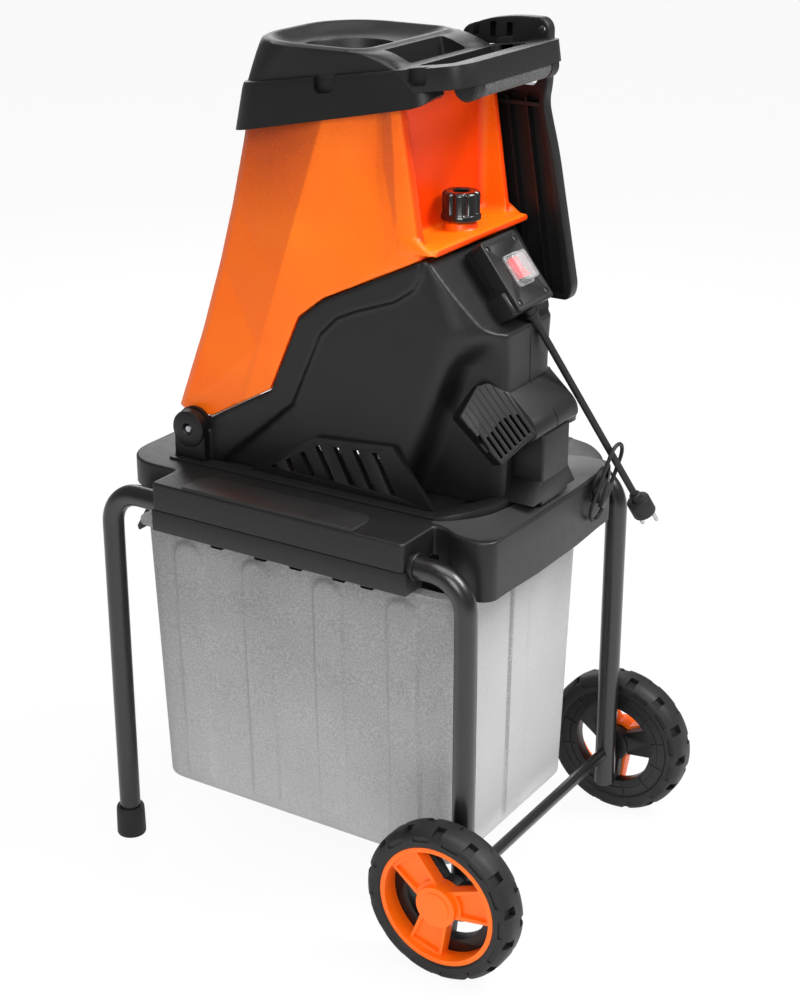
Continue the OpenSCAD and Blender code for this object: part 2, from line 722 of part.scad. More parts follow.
module grille() color(black) on_deck() difference() {
  left_slab(panel_hw, panel_hw + grille_t) polygon(grille_side);
  for (i = [0:louvre_n - 1]) left_slab(panel_hw - eps, panel_hw + grille_t + eps) intersection() {
    polygon(window_side);
    translate([-86 + i * 23, 0]) polygon([[0, 9], [louvre_gap, 9], [louvre_gap - 24, 55], [-24, 55]]);
  }
}
module left_grille() grille();
module right_grille() right() grille();
module hinge_pins() color(steel) on_deck() both() at_hinge()
  rod_y(pin_d / 2, body_hw - 24, body_hw + boss_t - 1);

// Cutter: motor, plate and rotor on one sloping axis
module at_rotor() on_deck() translate([rotor_x, 0, rotor_h]) rotate([0, -rotor_tilt, 0]) children();
plate_low = -22;
plate_thick = 4;
bearing_t = 9;
bearing_r = 14;
motor_low = plate_low - motor_l;
can_t = 3;
module motor() color([0.35, 0.36, 0.38]) at_rotor() difference() {
  translate([0, 0, motor_low]) cylinder(r = motor_r, h = motor_l);
  translate([0, 0, motor_low + bearing_t]) cylinder(r = motor_r - can_t, h = motor_l - 2 * bearing_t);
  translate([0, 0, motor_low - eps]) cylinder(r = bearing_r + fit, h = motor_l + 2 * eps);
}
module motor_plate() color(steel) at_rotor() difference() {
  translate([-plate_hl, -inner_hw, plate_low]) cube([2 * plate_hl, 2 * inner_hw, plate_thick]);
  translate([0, 0, plate_low - eps]) cylinder(d = shaft_d + 6, h = plate_thick + 2 * eps);
}
module bearing(z) color(steel) at_rotor() translate([0, 0, z]) difference() {
  cylinder(r = bearing_r, h = bearing_t);
  translate([0, 0, -eps]) cylinder(r = shaft_d / 2 + run, h = bearing_t + 2 * eps);
}
module upper_bearing() bearing(plate_low - bearing_t);
module lower_bearing() bearing(motor_low);
fan_t = 10;
fan_low = motor_low - fan_t - 4;
module motor_shaft() color(steel) at_rotor() translate([0, 0, fan_low])
  cylinder(d = shaft_d, h = disc_t + 12 - fan_low);
armature_r = 30;
armature_end = 18;
module armature() color([0.5, 0.3, 0.15]) at_rotor() difference() {
  translate([0, 0, motor_low + armature_end]) cylinder(r = armature_r, h = motor_l - 2 * armature_end);
  translate([0, 0, motor_low]) cylinder(d = shaft_d + 2 * fit, h = motor_l);
}
fan_r = 30;
module cooling_fan() color(black) at_rotor() translate([0, 0, fan_low]) difference() {
  union() {
    cylinder(r = shaft_d, h = fan_t);
    cylinder(r = fan_r, h = 2);
    for (a = [30:60:330]) rotate([0, 0, a]) translate([shaft_d - eps, -1, 1])
      cube([fan_r - shaft_d - 1, 2, fan_t - 2]);
  }
  translate([0, 0, -eps]) cylinder(d = shaft_d + 2 * fit, h = fan_t + 2 * eps);
}
blade_t = 4;
blade_w = 26;
blade_l = 44;
blade_hole = 12;
blade_screw_r = 4;
module blade_spots() for (a = [0, 180]) rotate([0, 0, a])
  translate([disc_r - blade_l / 2 - 2, 0, 0]) children();
module blade_screw_spots() blade_spots() for (x = [-blade_hole, blade_hole])
  translate([x, 0, 0]) children();
module blade_disc() color([0.55, 0.56, 0.58]) at_rotor() difference() {
  cylinder(r = disc_r, h = disc_t);
  translate([0, 0, -eps]) cylinder(d = shaft_d + 2 * fit, h = disc_t + 2 * eps);
  blade_screw_spots() translate([0, 0, -eps]) cylinder(r = blade_screw_r + fit, h = disc_t + 2 * eps);
}
module blades() color(steel) at_rotor() blade_spots() translate([0, 0, disc_t]) difference() {
  rotate([90, 0, 90]) linear_extrude(blade_l, center = true) polygon([[-blade_w / 2, 0], [blade_w / 2, 0],
    [blade_w / 2 - blade_t, blade_t], [-blade_w / 2 + blade_t, blade_t]]);
  for (x = [-blade_hole, blade_hole]) translate([x, 0, -eps])
    cylinder(r = blade_screw_r + fit, h = blade_t + 2 * eps);
}
module blade_screws() color(steel) at_rotor() blade_screw_spots() {
  cylinder(r = blade_screw_r, h = disc_t + blade_t);
  translate([0, 0, disc_t + blade_t]) cylinder(r = blade_screw_r + 2, h = 3);
}
module disc_nut() color(steel) at_rotor() translate([0, 0, disc_t]) difference() {
  cylinder(r = shaft_d / 2 + 5, h = 8, $fn = 6);
  translate([0, 0, -eps]) cylinder(d = shaft_d + 2 * fit, h = 10);
}

// Hopper, hinged to the housing at the front
knuckle_r = 13;
front_lean = 0.279;
crease_lean = 0.34;
rear_lean = 0.155;
front_flare = 0.079;
form_low = hinge_h + knuckle_r;
form_high = hopper_h + 22;
// Height at which the hopper's plan is set, and its corners there
plan_h = part_h + 110;
plan_front = 128;
plan_crease = 23;
plan_rear = 67;
plan_front_hw = 55;
function hopper_plan(h) = let (t = plan_h - h, f = -plan_front - t * front_lean,
  c = -plan_crease - t * crease_lean, r = plan_rear + t * rear_lean, w = plan_front_hw + t * front_flare)
  [[f, -w], [c, -body_hw], [r, -body_hw], [r, body_hw], [c, body_hw], [f, w]];
module hopper_form(d) hull() for (h = [form_low, form_high]) translate([0, 0, h]) linear_extrude(1)
  polygon(inset(hopper_plan(h), d));
ledge_top = part_h + ledge_rise + ledge_t;
module recess(d) translate([recess_x - d, -recess_hw - d, ledge_top - ledge_t - d])
  cube([big, 2 * (recess_hw + d), big]);
// Frame of the collar: u up the slope, w square to it
collar_ceiling = 18;
module at_collar() translate([0, 0, hopper_top - collar_ceiling]) rotate([0, -collar_tilt, 0]) children();
knuckle_out = body_hw - 3;
knuckle_l = 20;
pad_r = 15;
pad_h = 8;
module hopper() color(orange) difference() {
  union() {
    difference() {
      on_deck() difference() {
        hopper_form(0);
        recess(0);
      }
      difference() {
        on_deck() hopper_form(hopper_wall);
        on_deck() recess(hopper_wall);
      }
      on_deck() side_prism(big) polygon(inset(house_cut, -slack));
      at_collar() translate([-big, -big, collar_ceiling]) cube(2 * big);
    }
    on_deck() translate([recess_x - hopper_wall, -recess_hw - hopper_wall, ledge_top - ledge_t])
      cube([body_rear + 4 - recess_x, 2 * (recess_hw + hopper_wall), ledge_t]);
    on_deck() translate([knob_x, 0, ledge_top - eps]) cylinder(r = pad_r, h = pad_h + eps);
    on_deck() both() {
      at_hinge() rod_y(knuckle_r, knuckle_out - knuckle_l, knuckle_out);
      at_hinge() translate([-knuckle_r, -knuckle_out + 6, 0])
        cube([2 * knuckle_r, knuckle_l - 6, swing_r - 6]);
      intersection() {
        hopper_form(0);
        translate([-hinge_x - knuckle_r, -body_hw, form_low])
          cube([2 * knuckle_r, knuckle_l, hinge_h + swing_r - 7 - form_low]);
      }
    }
  }
  on_deck() both() at_hinge() rod_y(pin_d / 2 + run, knuckle_out - knuckle_l - eps, big);
  on_deck() translate([knob_x, 0, part_h - lock_boss_r])
    cylinder(r = lock_boss_r + 1, h = lock_boss_r + ledge_rise);
  on_deck() translate([knob_x, 0, part_h]) cylinder(d = stud_d + 2 * slack, h = big / 10);
}

// Funnel with the feed mouth and the carrying handle
collar_top = 24;
collar_low = collar_top - collar_h;
collar_r = 42;
collar_corner = 20;
collar_draft = 3;
collar_set = 0.5;
collar_hw = body_hw + collar_wall + collar_draft + slack;
handle_hw = collar_hw;
module collar_plan(d) hull() for (s = [-1, 1]) {
  translate([-collar_front + collar_r, s * (collar_hw - 2 - collar_r)]) circle(collar_r - d, $fn = 32);
  translate([collar_rear - collar_corner, s * (collar_hw - collar_corner)])
    circle(collar_corner - d, $fn = 32);
}
mouth_r = 58;
mouth_corner = 20;
module mouth_plan(d) hull() for (s = [-1, 1]) {
  translate([-mouth_front + mouth_r, s * (mouth_hw - mouth_r)]) circle(mouth_r - d, $fn = 32);
  translate([mouth_rear - mouth_corner, s * (mouth_hw - mouth_corner)])
    circle(mouth_corner - d / 2, $fn = 32);
}
mouth_wall = 4;
throat_x = -mouth_front + mouth_r + 8;
throat_z = mouth_z - 20;
handle_r = 16;
slot_r = 8;
slot_x = [72, handle_x - bar_w];
skirt_x = 66;
notch_at = [-22, 64];
notch_in = 9;
module notches() for (u = notch_at) translate([u, -handle_hw - 2 * eps, collar_top - notch_d])
  cube([notch_w, notch_in + 2 * eps, notch_d + big]);
module handle_plan() difference() {
  plan_rect(slot_x[0] - 40, handle_x, handle_hw, handle_r);
  plan_rect(slot_x[0], slot_x[1], handle_hw - bar_w, slot_r);
}
module funnel() color(black) difference() {
  union() {
    at_collar() hull() {
      translate([0, 0, collar_low]) linear_extrude(1) collar_plan(0);
      translate([0, 0, collar_top - collar_set - 1]) linear_extrude(1) collar_plan(collar_draft);
    }
    hull() {
      at_collar() translate([0, 0, collar_ceiling])
        linear_extrude(collar_top - collar_ceiling - 1) intersection() {
          collar_plan(collar_draft + 1);
          translate([-big, -big]) square([big + mouth_rear + 28, 2 * big]);
        }
      translate([0, 0, mouth_z - 3]) linear_extrude(3) mouth_plan(0);
    }
    at_collar() translate([0, 0, collar_top - bar_t]) linear_extrude(bar_t) handle_plan();
  }
  hull() {
    translate([0, 0, mouth_z]) linear_extrude(eps) mouth_plan(mouth_wall);
    translate([throat_x, 0, throat_z]) cylinder(r = throat_r, h = 1, $fn = 48);
  }
  translate([throat_x, 0, deck_z + part_h]) cylinder(r = throat_r, h = big);
  difference() {
    on_deck() hopper_form(-slack);
    at_collar() translate([-big, -big, collar_ceiling]) cube(2 * big);
  }
  at_collar() side_prism(big) polygon([[skirt_x, collar_low - eps], [collar_rear + eps, collar_low - eps],
    [collar_rear + eps, collar_top - bar_t], [collar_rear - 2, collar_top - bar_t]]);
  at_collar() both() notches();
  at_collar() translate([0, 0, -big / 2]) linear_extrude(big)
    plan_rect(slot_x[0], slot_x[1], handle_hw - bar_w, slot_r);
}
module handle_grip() color(rubber) at_collar() difference() {
  translate([handle_x - bar_w / 2, 0, collar_top - bar_t - 1]) rod_y(grip_r, -grip_hl, grip_hl);
  translate([0, -big, collar_top - bar_t]) cube(2 * big);
}

// Plunger that hangs on the right side of the funnel by a hook in its rear notch
plunger_y = handle_hw + slack;
plunger_x = 112;
plunger_tip_x = 145;
plunger_side = [[plunger_x - 97, plunger_top - 24], [plunger_x - 91, plunger_top - 13],
  [plunger_x - 64, plunger_top - 4], [plunger_x - 37, plunger_top], [plunger_x - 7, plunger_top],
  [plunger_x - 1, plunger_top - 8], [plunger_x - 1, plunger_top - 62], [plunger_x - 4, plunger_top - 78],
  [plunger_x, plunger_top - 95],
  [plunger_x + 8, plunger_top - 124], [plunger_tip_x, plunger_low + 12], [plunger_tip_x - 5, plunger_low],
  [plunger_tip_x - plunger_w, plunger_low], [plunger_x - plunger_w, plunger_top - 95]];
hand_low = plunger_top - grip_bar_h - 38;
hand_hole = [[plunger_x - 80, hand_low], [plunger_x - 14, hand_low], [plunger_x - 11, hand_low + 8],
  [plunger_x - 11, hand_low + 34], [plunger_x - 15, hand_low + 38], [plunger_x - 78, hand_low + 34]];
pocket_side = [[plunger_x - 8, hand_low - 6], [plunger_x - 10, plunger_top - 80],
  [plunger_x - 6, plunger_top - 97], [plunger_x + 1, plunger_top - 126], [plunger_tip_x - 9, plunger_low + 6],
  [plunger_tip_x + 7 - plunger_w, plunger_low + 6], [plunger_x + 8 - plunger_w, hand_low - 6]];
module right_slab(a, b) translate([0, b, 0]) rotate([90, 0, 0]) linear_extrude(b - a) children();
slot_w = 6;
slot_h = 12;
slot_gap = 18;
hang_r = 4;
module plunger() color(black) {
  difference() {
    right_slab(plunger_y, plunger_y + plunger_t) polygon(plunger_side);
    right_slab(plunger_y - eps, plunger_y + plunger_t - plunger_wall) polygon(pocket_side);
    right_slab(plunger_y - eps, plunger_y + plunger_t + eps) polygon(hand_hole);
    for (i = [0:2]) right_slab(plunger_y - eps, plunger_y + plunger_t + eps)
      translate([plunger_x - 82 + i * slot_gap, plunger_top - 8 - slot_h]) square([slot_w, slot_h]);
    translate([plunger_x - 9, plunger_y - eps, plunger_top - 11]) rotate([-90, 0, 0])
      cylinder(r = hang_r, h = plunger_t + 2 * eps);
  }
  // hook that reaches from the notch up to the grip bar
  intersection() {
    at_collar() translate([notch_at[1] + 2, handle_hw - notch_in + slack, collar_top - notch_d + slack])
      cube([notch_w - 4, notch_in + 4, big]);
    translate([-big, -big, 0]) cube([2 * big, 2 * big, plunger_top - grip_bar_h + 8]);
  }
}

// Lock: a knob and stud on the hopper's ledge, over an insert in the housing
knob_low = deck_z + ledge_top + pad_h + slack;
stud_in = 20;
module lock_knob() color(rubber) translate([knob_x, 0, knob_low]) difference() {
  rotate_extrude() polygon([[0, 0], [knob_r, 0], [knob_r, knob_h - 2], [knob_r - 2, knob_h], [8, knob_h],
    [8, knob_h - 4], [0, knob_h - 4]]);
  for (i = [0:flute_n - 1]) rotate([0, 0, 360 * i / flute_n]) translate([knob_r + 2, 0, 8])
    cylinder(r = 4, h = knob_h);
  translate([0, 0, -eps]) cylinder(d = stud_d, h = stud_in + eps);
}
module lock_stud() color(steel) translate([knob_x, 0, deck_z + part_h + slack])
  cylinder(d = stud_d, h = knob_low + stud_in - deck_z - part_h - slack);
brass = [0.75, 0.6, 0.25];
module lock_insert() color(brass) translate([knob_x, 0, deck_z + part_h - insert_h]) difference() {
  cylinder(r = insert_r, h = insert_h);
  translate([0, 0, 3]) cylinder(d = stud_d - 1, h = insert_h);
}

// Switch on the tower's slope: x down the slope, z out of the plate
switch_y = 3;
switch_off = switch_l / 2 + 8;
module at_switch() on_deck() translate([tower_top_x, switch_y, part_h]) rotate([0, switch_tilt, 0])
  translate([switch_off, 0, switch_d]) children();
module switch_pad(l, w, r) plan_rect(-l / 2, l / 2, w / 2, r);
opening_l = rocker_l + 2;
opening_w = rocker_w + 2;
plate_holes = [switch_l / 2 - 8, switch_w / 2 - 7];
plate_screw_r = 2;
plate_head_r = 3.5;
plate_head_t = 1.5;
plate_screw_l = 12;
module plate_spots() for (x = [-1, 1], y = [-1, 1])
  translate([x * plate_holes.x, y * plate_holes.y, 0]) children();
module switch_box() color(black) at_switch() difference() {
  translate([0, 0, -switch_d]) linear_extrude(switch_d - plate_t) switch_pad(switch_l, switch_w, 4);
  translate([0, 0, -switch_d + 3]) linear_extrude(switch_d)
    square([opening_l + 8, opening_w + 8], center = true);
  plate_spots() translate([0, 0, -plate_screw_l - 2]) cylinder(r = plate_screw_r + fit, h = switch_d);
  translate([0, 0, rocker_z]) rod_y(rocker_pin_r + run, -rocker_pin_l - fit, rocker_pin_l + fit);
  translate([-switch_l / 2 - eps, -switch_w / 2 - eps, -switch_d - eps]) cube([switch_l * 0.62, 8, 12]);
}
module switch_plate() color(black) at_switch() difference() {
  translate([0, 0, -plate_t]) linear_extrude(plate_t) switch_pad(switch_l, switch_w, 4);
  translate([0, 0, -plate_t - eps]) linear_extrude(plate_t + 2 * eps)
    square([opening_l, opening_w], center = true);
  plate_spots() translate([0, 0, -plate_t - eps]) cylinder(r = plate_screw_r + fit, h = 2 * plate_t + eps);
  plate_spots() translate([0, 0, -plate_head_t]) cylinder(r = plate_head_r + fit, h = plate_t);
}
module plate_screws() color(steel) at_switch() plate_spots() {
  translate([0, 0, -plate_screw_l]) cylinder(r = plate_screw_r, h = plate_screw_l - plate_head_t / 2);
  translate([0, 0, -plate_head_t]) cylinder(r = plate_head_r, h = plate_head_t);
}
rocker_swing = 7;
rocker_z = -6;
rocker_pin_r = 2;
rocker_pin_l = opening_w / 2 + 6;
red = [0.85, 0.06, 0.08];
module rocker() color(red) at_switch() translate([0, 0, rocker_z]) rotate([0, -rocker_swing, 0]) {
  side_prism(rocker_w / 2) polygon([[-rocker_l / 2 + 3, -4], [rocker_l / 2 - 3, -4], [rocker_l / 2, 10],
    [0, 8], [-rocker_l / 2, 10]]);
  rod_y(rocker_pin_r, -rocker_pin_l, rocker_pin_l);
}
module switch_cover() color([0.9, 0.95, 1, 0.4]) at_switch() difference() {
  union() {
    linear_extrude(3) switch_pad(cover_l, cover_w, 5);
    linear_extrude(cover_h) switch_pad(cover_l - 4, cover_w - 4, 4);
  }
  translate([0, 0, -eps]) linear_extrude(cover_h - 2 + eps) switch_pad(cover_l - 7, cover_w - 7, 3);
}

// Hook frame on the deck's rear wall: z up the hanging loop, x out of the wall
clip_out = 6.5;
clip_y = 77;
clip_z = deck_z - 14.5;
clip_lean = 9;
clip_roll = 22;
clip_at = [deck_rear + clip_out, clip_y, clip_z];
function clip_point(h) = clip_at
  + h * [cos(clip_roll) * sin(clip_lean), sin(clip_roll), cos(clip_roll) * cos(clip_lean)];
module at_clip() translate(clip_at) rotate([-clip_roll, clip_lean, 0]) children();

// Cord from the switch box through the loop to its plug
cord_side = 9;
cord_deep = 18;
loop_low = 15;
cord_pass = loop_l - loop_w - loop_d - loop_low - 2;
cord_tail = 48;
cord_steps = 12;
function switch_point(p) = let (u = switch_off + p.x, w = switch_d + p.z)
  [tower_top_x + u * cos(switch_tilt) + w * sin(switch_tilt), switch_y + p.y,
  deck_z + part_h - u * sin(switch_tilt) + w * cos(switch_tilt)];
cord_start = switch_point([switch_l / 2 + gland_l - 2, cord_side, -cord_deep]);
cord_run = clip_point(cord_pass) - cord_start;
cord_end = cord_start + cord_run * (1 + cord_tail / norm(cord_run));
cord_route = [for (i = [0:cord_steps]) cord_start + (cord_end - cord_start) * i / cord_steps];
function cord_dir(i) = unit(cord_route[min(i + 1, len(cord_route) - 1)] - cord_route[max(i - 1, 0)]);
cord_sides = 10;
function cord_ring(i) = let (d = cord_dir(i), s = unit(cross(d, [0, 0, 1])), t = cross(s, d))
  [for (k = [0:cord_sides - 1]) let (a = 360 * k / cord_sides)
    cord_route[i] + cord_d / 2 * (cos(a) * s + sin(a) * t)];
cord_rings = len(cord_route);
module cord() color(black) polyhedron(
  points = [for (i = [0:cord_rings - 1]) each cord_ring(i)],
  faces = concat([[for (k = [cord_sides - 1:-1:0]) k]],
    [for (i = [0:cord_rings - 2], k = [0:cord_sides - 1]) let (a = i * cord_sides, n = (k + 1) % cord_sides)
      [a + k, a + n, a + cord_sides + n, a + cord_sides + k]],
    [[for (k = [0:cord_sides - 1]) (cord_rings - 1) * cord_sides + k]]));
// Turns z along a direction
module along(d) rotate([0, acos(d.z / norm(d)), atan2(d.y, d.x)]) children();
module cord_gland() color(rubber) difference() {
  translate(cord_route[0]) along(-cord_dir(0)) {
    cylinder(d1 = cord_d + 2, d2 = cord_d + 5, h = gland_l + 6);
    translate([0, 0, gland_l - 6]) cylinder(d = cord_d + 7, h = 4);
  }
  at_switch() translate([switch_l / 2 - big, -big, -big]) cube([big, 2 * big, 2 * big]);
}
module at_plug() translate(cord_route[cord_rings - 1]) along(cord_dir(cord_rings - 1)) children();
plug_neck = 8;
plug_turn = -45;
module pin_spots() rotate([0, 0, plug_turn]) for (s = [-1, 1])
  translate([0, s * plug_pin_gap / 2, plug_neck + 4]) children();
module plug() color(black) at_plug() difference() {
  union() {
    cylinder(d = cord_d + 5, h = plug_neck);
    translate([0, 0, plug_neck]) cylinder(d = plug_d, h = plug_l);
  }
  pin_spots() cylinder(d = plug_pin_d + 2 * fit, h = plug_l);
}
module plug_pins() color(steel) at_plug() pin_spots() cylinder(d = plug_pin_d, h = plug_l - 4 + plug_pin_l);

// Cord loop on its hook at the deck's rear wall; the hook has two curved horns
peg_r = loop_w / 2 - fit;
horn_r = 17;
horn_w = 5;
horn_gap = 14;
horn_back = -loop_d / 2 - 1;
module cord_hook() color(black) difference() {
  at_clip() {
    translate([-16, -8, -12]) cube([16 + horn_back, 16, 26]);
    translate([horn_back - 2, 0, 0]) rotate([0, 90, 0]) cylinder(r = peg_r, h = loop_d + 4);
    translate([loop_d / 2 + fit, -5, -14]) cube([4, 10, 26]);
    translate([horn_back - 4, 0, horn_r - 7]) rotate([0, 90, 0]) difference() {
      cylinder(r = horn_r, h = 3);
      translate([0, 0, -eps]) cylinder(r = horn_r - horn_w, h = 3 + 2 * eps);
      translate([-2 * horn_r, -horn_gap / 2, -eps]) cube([2 * horn_r, horn_gap, 3 + 2 * eps]);
    }
  }
  translate([deck_rear - big, -big, 0]) cube([big, 2 * big, 2 * big]);
}
module cord_loop() color(rubber) at_clip() {
  r = (loop_w + loop_d) / 2;
  for (s = [-1, 1]) translate([0, s * r, -loop_low]) cylinder(d = loop_d, h = loop_l - 2 * r);
  translate([0, 0, loop_l - 2 * r - loop_low]) rotate([0, -90, 0]) rotate([0, 0, -90])
    rotate_extrude(angle = 180) translate([r, 0]) circle(d = loop_d);
  translate([0, 0, -loop_low]) rotate([0, -90, 0]) rotate([0, 0, 90])
    rotate_extrude(angle = 180) translate([r, 0]) circle(d = loop_d);
}

left_leg_frame();
right_leg_frame();
left_foot();
right_foot();
axle();
axle_nuts();
left_tyre();
right_tyre();
left_rim();
right_rim();
left_wheel_cover();
right_wheel_cover();
deck();
left_clamp_rail();
right_clamp_rail();
leg_screws();
bin();
bin_pull();
left_housing();
right_housing();
left_grille();
right_grille();
housing_screws();
hinge_pins();
motor();
motor_plate();
upper_bearing();
lower_bearing();
motor_shaft();
armature();
cooling_fan();
blade_disc();
blades();
blade_screws();
disc_nut();
hopper();
funnel();
handle_grip();
plunger();
lock_knob();
lock_stud();
lock_insert();
switch_box();
switch_plate();
plate_screws();
rocker();
switch_cover();
cord_gland();
cord();
plug();
plug_pins();
cord_hook();
cord_loop();
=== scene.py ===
import math

import bmesh
import bpy
from mathutils import Matrix, Vector


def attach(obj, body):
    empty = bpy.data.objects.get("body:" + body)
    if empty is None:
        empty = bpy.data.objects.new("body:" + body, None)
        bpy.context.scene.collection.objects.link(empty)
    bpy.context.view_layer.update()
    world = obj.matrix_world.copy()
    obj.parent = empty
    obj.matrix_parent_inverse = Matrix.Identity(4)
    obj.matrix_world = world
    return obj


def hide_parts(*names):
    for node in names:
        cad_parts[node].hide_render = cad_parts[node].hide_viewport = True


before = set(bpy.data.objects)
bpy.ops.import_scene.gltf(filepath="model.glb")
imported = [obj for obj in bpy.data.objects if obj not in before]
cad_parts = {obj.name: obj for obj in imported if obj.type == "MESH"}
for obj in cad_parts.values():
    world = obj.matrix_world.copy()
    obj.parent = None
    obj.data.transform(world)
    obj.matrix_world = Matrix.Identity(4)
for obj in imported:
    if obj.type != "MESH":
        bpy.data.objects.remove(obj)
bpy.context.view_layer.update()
scene = bpy.context.scene
mm = 0.001
print("frame loaded:", len(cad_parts), "nodes")


# camera and light
shot = {"at": (0.9785, -1.5317, 1.1215), "look": (0.00758, 0, 0.38846), "lens": 70}


def aim(obj, look):
    obj.rotation_euler = (Vector(look) - obj.location).to_track_quat("-Z", "Y").to_euler()


cameraData = bpy.data.cameras.new("camera")
cameraData.lens = shot["lens"]
cameraData.sensor_width = 36
camera = bpy.data.objects.new("camera", cameraData)
camera.location = shot["at"]
aim(camera, shot["look"])
scene.collection.objects.link(camera)
scene.camera = camera
scene.view_settings.view_transform = "Standard"

lamps = {  # place, aim, side length, watts
    "key": ((1.6, 0.6, 2.5), (0, 0, 0.45), 1.2, 82),
    "top": ((0.2, -0.4, 2.7), (0, 0, 0.4), 1.6, 34),
    "fill": ((1.1, -2.3, 1.9), (0, 0, 0.4), 1.3, 40),
    "back": ((-1.4, 1.8, 1.5), (0, 0, 0.5), 1.6, 22),
}
for name, (place, look, side, watts) in lamps.items():
    lampData = bpy.data.lights.new(name, "AREA")
    lampData.size = side
    lampData.energy = watts
    lamp = bpy.data.objects.new(name, lampData)
    lamp.location = place
    aim(lamp, look)
    scene.collection.objects.link(lamp)


# materials
class Sock:
    def __init__(self, finish, out):
        self.finish, self.out = finish, out

    def sums(self, operation, a, b):
        return self.finish.node("Math", {"operation": operation}, {0: a, 1: b})

    def __add__(self, other):
        return self.sums("ADD", self, other)

    def __radd__(self, other):
        return self.sums("ADD", other, self)

    def __sub__(self, other):
        return self.sums("SUBTRACT", self, other)

    def __rsub__(self, other):
        return self.sums("SUBTRACT", other, self)

    def __mul__(self, other):
        return self.sums("MULTIPLY", self, other)

    def __rmul__(self, other):
        return self.sums("MULTIPLY", other, self)


class Finish:
    def __init__(self, name, **fixed):
        self.material = bpy.data.materials.new(name)
        self.material.use_nodes = True
        self.tree = self.material.node_tree
        self.shader = self.tree.nodes["Principled BSDF"]
        self.place = self.node("TexCoord", out="Object")
        for key, value in fixed.items():
            self.shader.inputs[key.replace("_", " ")].default_value = value

    def node(self, kind, settings=(), inputs=(), out=0):
        made = self.tree.nodes.new("ShaderNode" + kind)
        for key, value in dict(settings).items():
            if key == "stops":
                for stop, (at, level) in zip(made.color_ramp.elements, value):
                    stop.position = at
                    stop.color = (level, level, level, 1)
            else:
                setattr(made, key, value)
        for key, value in dict(inputs).items():
            self.feed(made.inputs[key], value)
        return Sock(self, made.outputs[out])

    def feed(self, slot, value):
        if isinstance(value, Sock):
            self.tree.links.new(value.out, slot)
        else:
            slot.default_value = value

    def set(self, **values):
        for key, value in values.items():
            self.feed(self.shader.inputs[key.replace("_", " ")], value)

    def noise(self, scale, detail=2, stretch=(1, 1, 1)):
        spot = self.node("Mapping", {}, {"Vector": self.place, "Scale": stretch})
        return self.node("TexNoise", {}, {"Vector": spot, "Scale": scale, "Detail": detail})

    def ramp(self, value, low, high):
        return self.node("ValToRGB", {"stops": [(low, 0), (high, 1)]}, {0: value})

    def mix(self, share, a, b):
        return self.node("Mix", {"data_type": "RGBA"}, {0: share, 6: a, 7: b}, out=2)

    def bump(self, height, distance, strength=1.0):
        return self.node("Bump", {}, {"Height": height, "Distance": distance, "Strength": strength})


def tone(text):
    parts = [int(text[i:i + 2], 16) / 255 for i in (0, 2, 4)]
    return tuple(((p + 0.055) / 1.055) ** 2.4 if p > 0.04045 else p / 12.92 for p in parts) + (1,)


finishes = {}


def moulded(name, dark, pale, rough, grain, depth, **fixed):
    # moulded surface: fine grain in the bump, broad drift in the colour, scuffs in the gloss
    made = Finish(name, **fixed)
    fine = made.noise(grain, 3)
    drift = made.ramp(made.noise(14, 4), 0.3, 0.75)
    scuff = made.ramp(made.noise(120, 5), 0.5, 0.8)
    made.plain = made.mix(drift, tone(dark), tone(pale))
    made.set(Base_Color=made.plain, Roughness=rough + (fine - 0.5) * 0.16 + scuff * 0.06,
             Normal=made.bump(fine, depth * mm))
    finishes[name] = made.material
    return made


moulded("blackPlastic", "0D0D0D", "131313", 0.44, 1500, 0.05, Specular_IOR_Level=0.4)
moulded("deckPlastic", "101010", "161616", 0.46, 1100, 0.06, Specular_IOR_Level=0.42)
moulded("panelPlastic", "1A1A1A", "222222", 0.45, 1100, 0.06, Specular_IOR_Level=0.45)
# paler copy of the deck plastic, for the painted highlight on the sloping rear border band
moulded("litBorderPlastic", "303030", "3A3A3A", 0.42, 1100, 0.06, Specular_IOR_Level=0.5)
moulded("tubePaint", "0F0F0F", "141414", 0.32, 420, 0.006, Coat_Weight=0.25, Coat_Roughness=0.15)
moulded("darkRubber", "0E0E0E", "151515", 0.58, 900, 0.06, Specular_IOR_Level=0.4)
moulded("tyreRubber", "121212", "1A1A1A", 0.55, 700, 0.06, Specular_IOR_Level=0.4)
moulded("orangePlastic", "FF6A0A", "FF740E", 0.36, 1300, 0.015, Specular_IOR_Level=0.3)


def hopperOrange():
    # orange sheet with painted shade: its rear-facing walls painted redder, the front facet painted darker towards the
    # top, and a painted shadow, speckled by noise, under the collar and towards the front
    made = moulded("hopperOrange", "FF6A08", "FF780E", 0.34, 1300, 0.015, Specular_IOR_Level=0.3)
    across, high = (made.node("SeparateXYZ", {}, {0: made.place}, out=k) for k in (0, 2))
    # painted shadow under the collar, deepest towards the front and speckled by the grain noise
    climb = made.node("MapRange", {}, {0: high + made.noise(9, 2) * 0.05, 1: 0.70, 2: 0.83, 3: 0.0, 4: 1.0})
    ahead = made.node("MapRange", {}, {0: across, 1: -0.02, 2: -0.09, 3: 0.35, 4: 1.0})
    grain = made.ramp(made.noise(700, 1), 0.34, 0.64)
    shade = climb * ahead * (0.55 + grain * 0.45)
    # painted shade on the walls that face the rear, and on the front facet towards the top
    facing = made.node("SeparateXYZ", {}, {0: made.node("TexCoord", out="Normal")}, out=0)
    rearward = made.node("MapRange", {}, {0: facing, 1: 0.5, 2: 0.9, 3: 0.0, 4: 0.85})
    forward = made.node("MapRange", {}, {0: facing, 1: -0.06, 2: -0.2, 3: 0.0, 4: 1.0})
    rise = made.node("MapRange", {}, {0: high, 1: 0.52, 2: 0.80, 3: 0.1, 4: 0.8})
    shadedWalls = made.mix(rearward, made.plain, tone("EE3300"))
    shadedWalls = made.mix(forward * rise * (0.7 + grain * 0.3), shadedWalls, tone("C04A0A"))
    made.set(Base_Color=made.mix(shade, shadedWalls, tone("A8350C")))


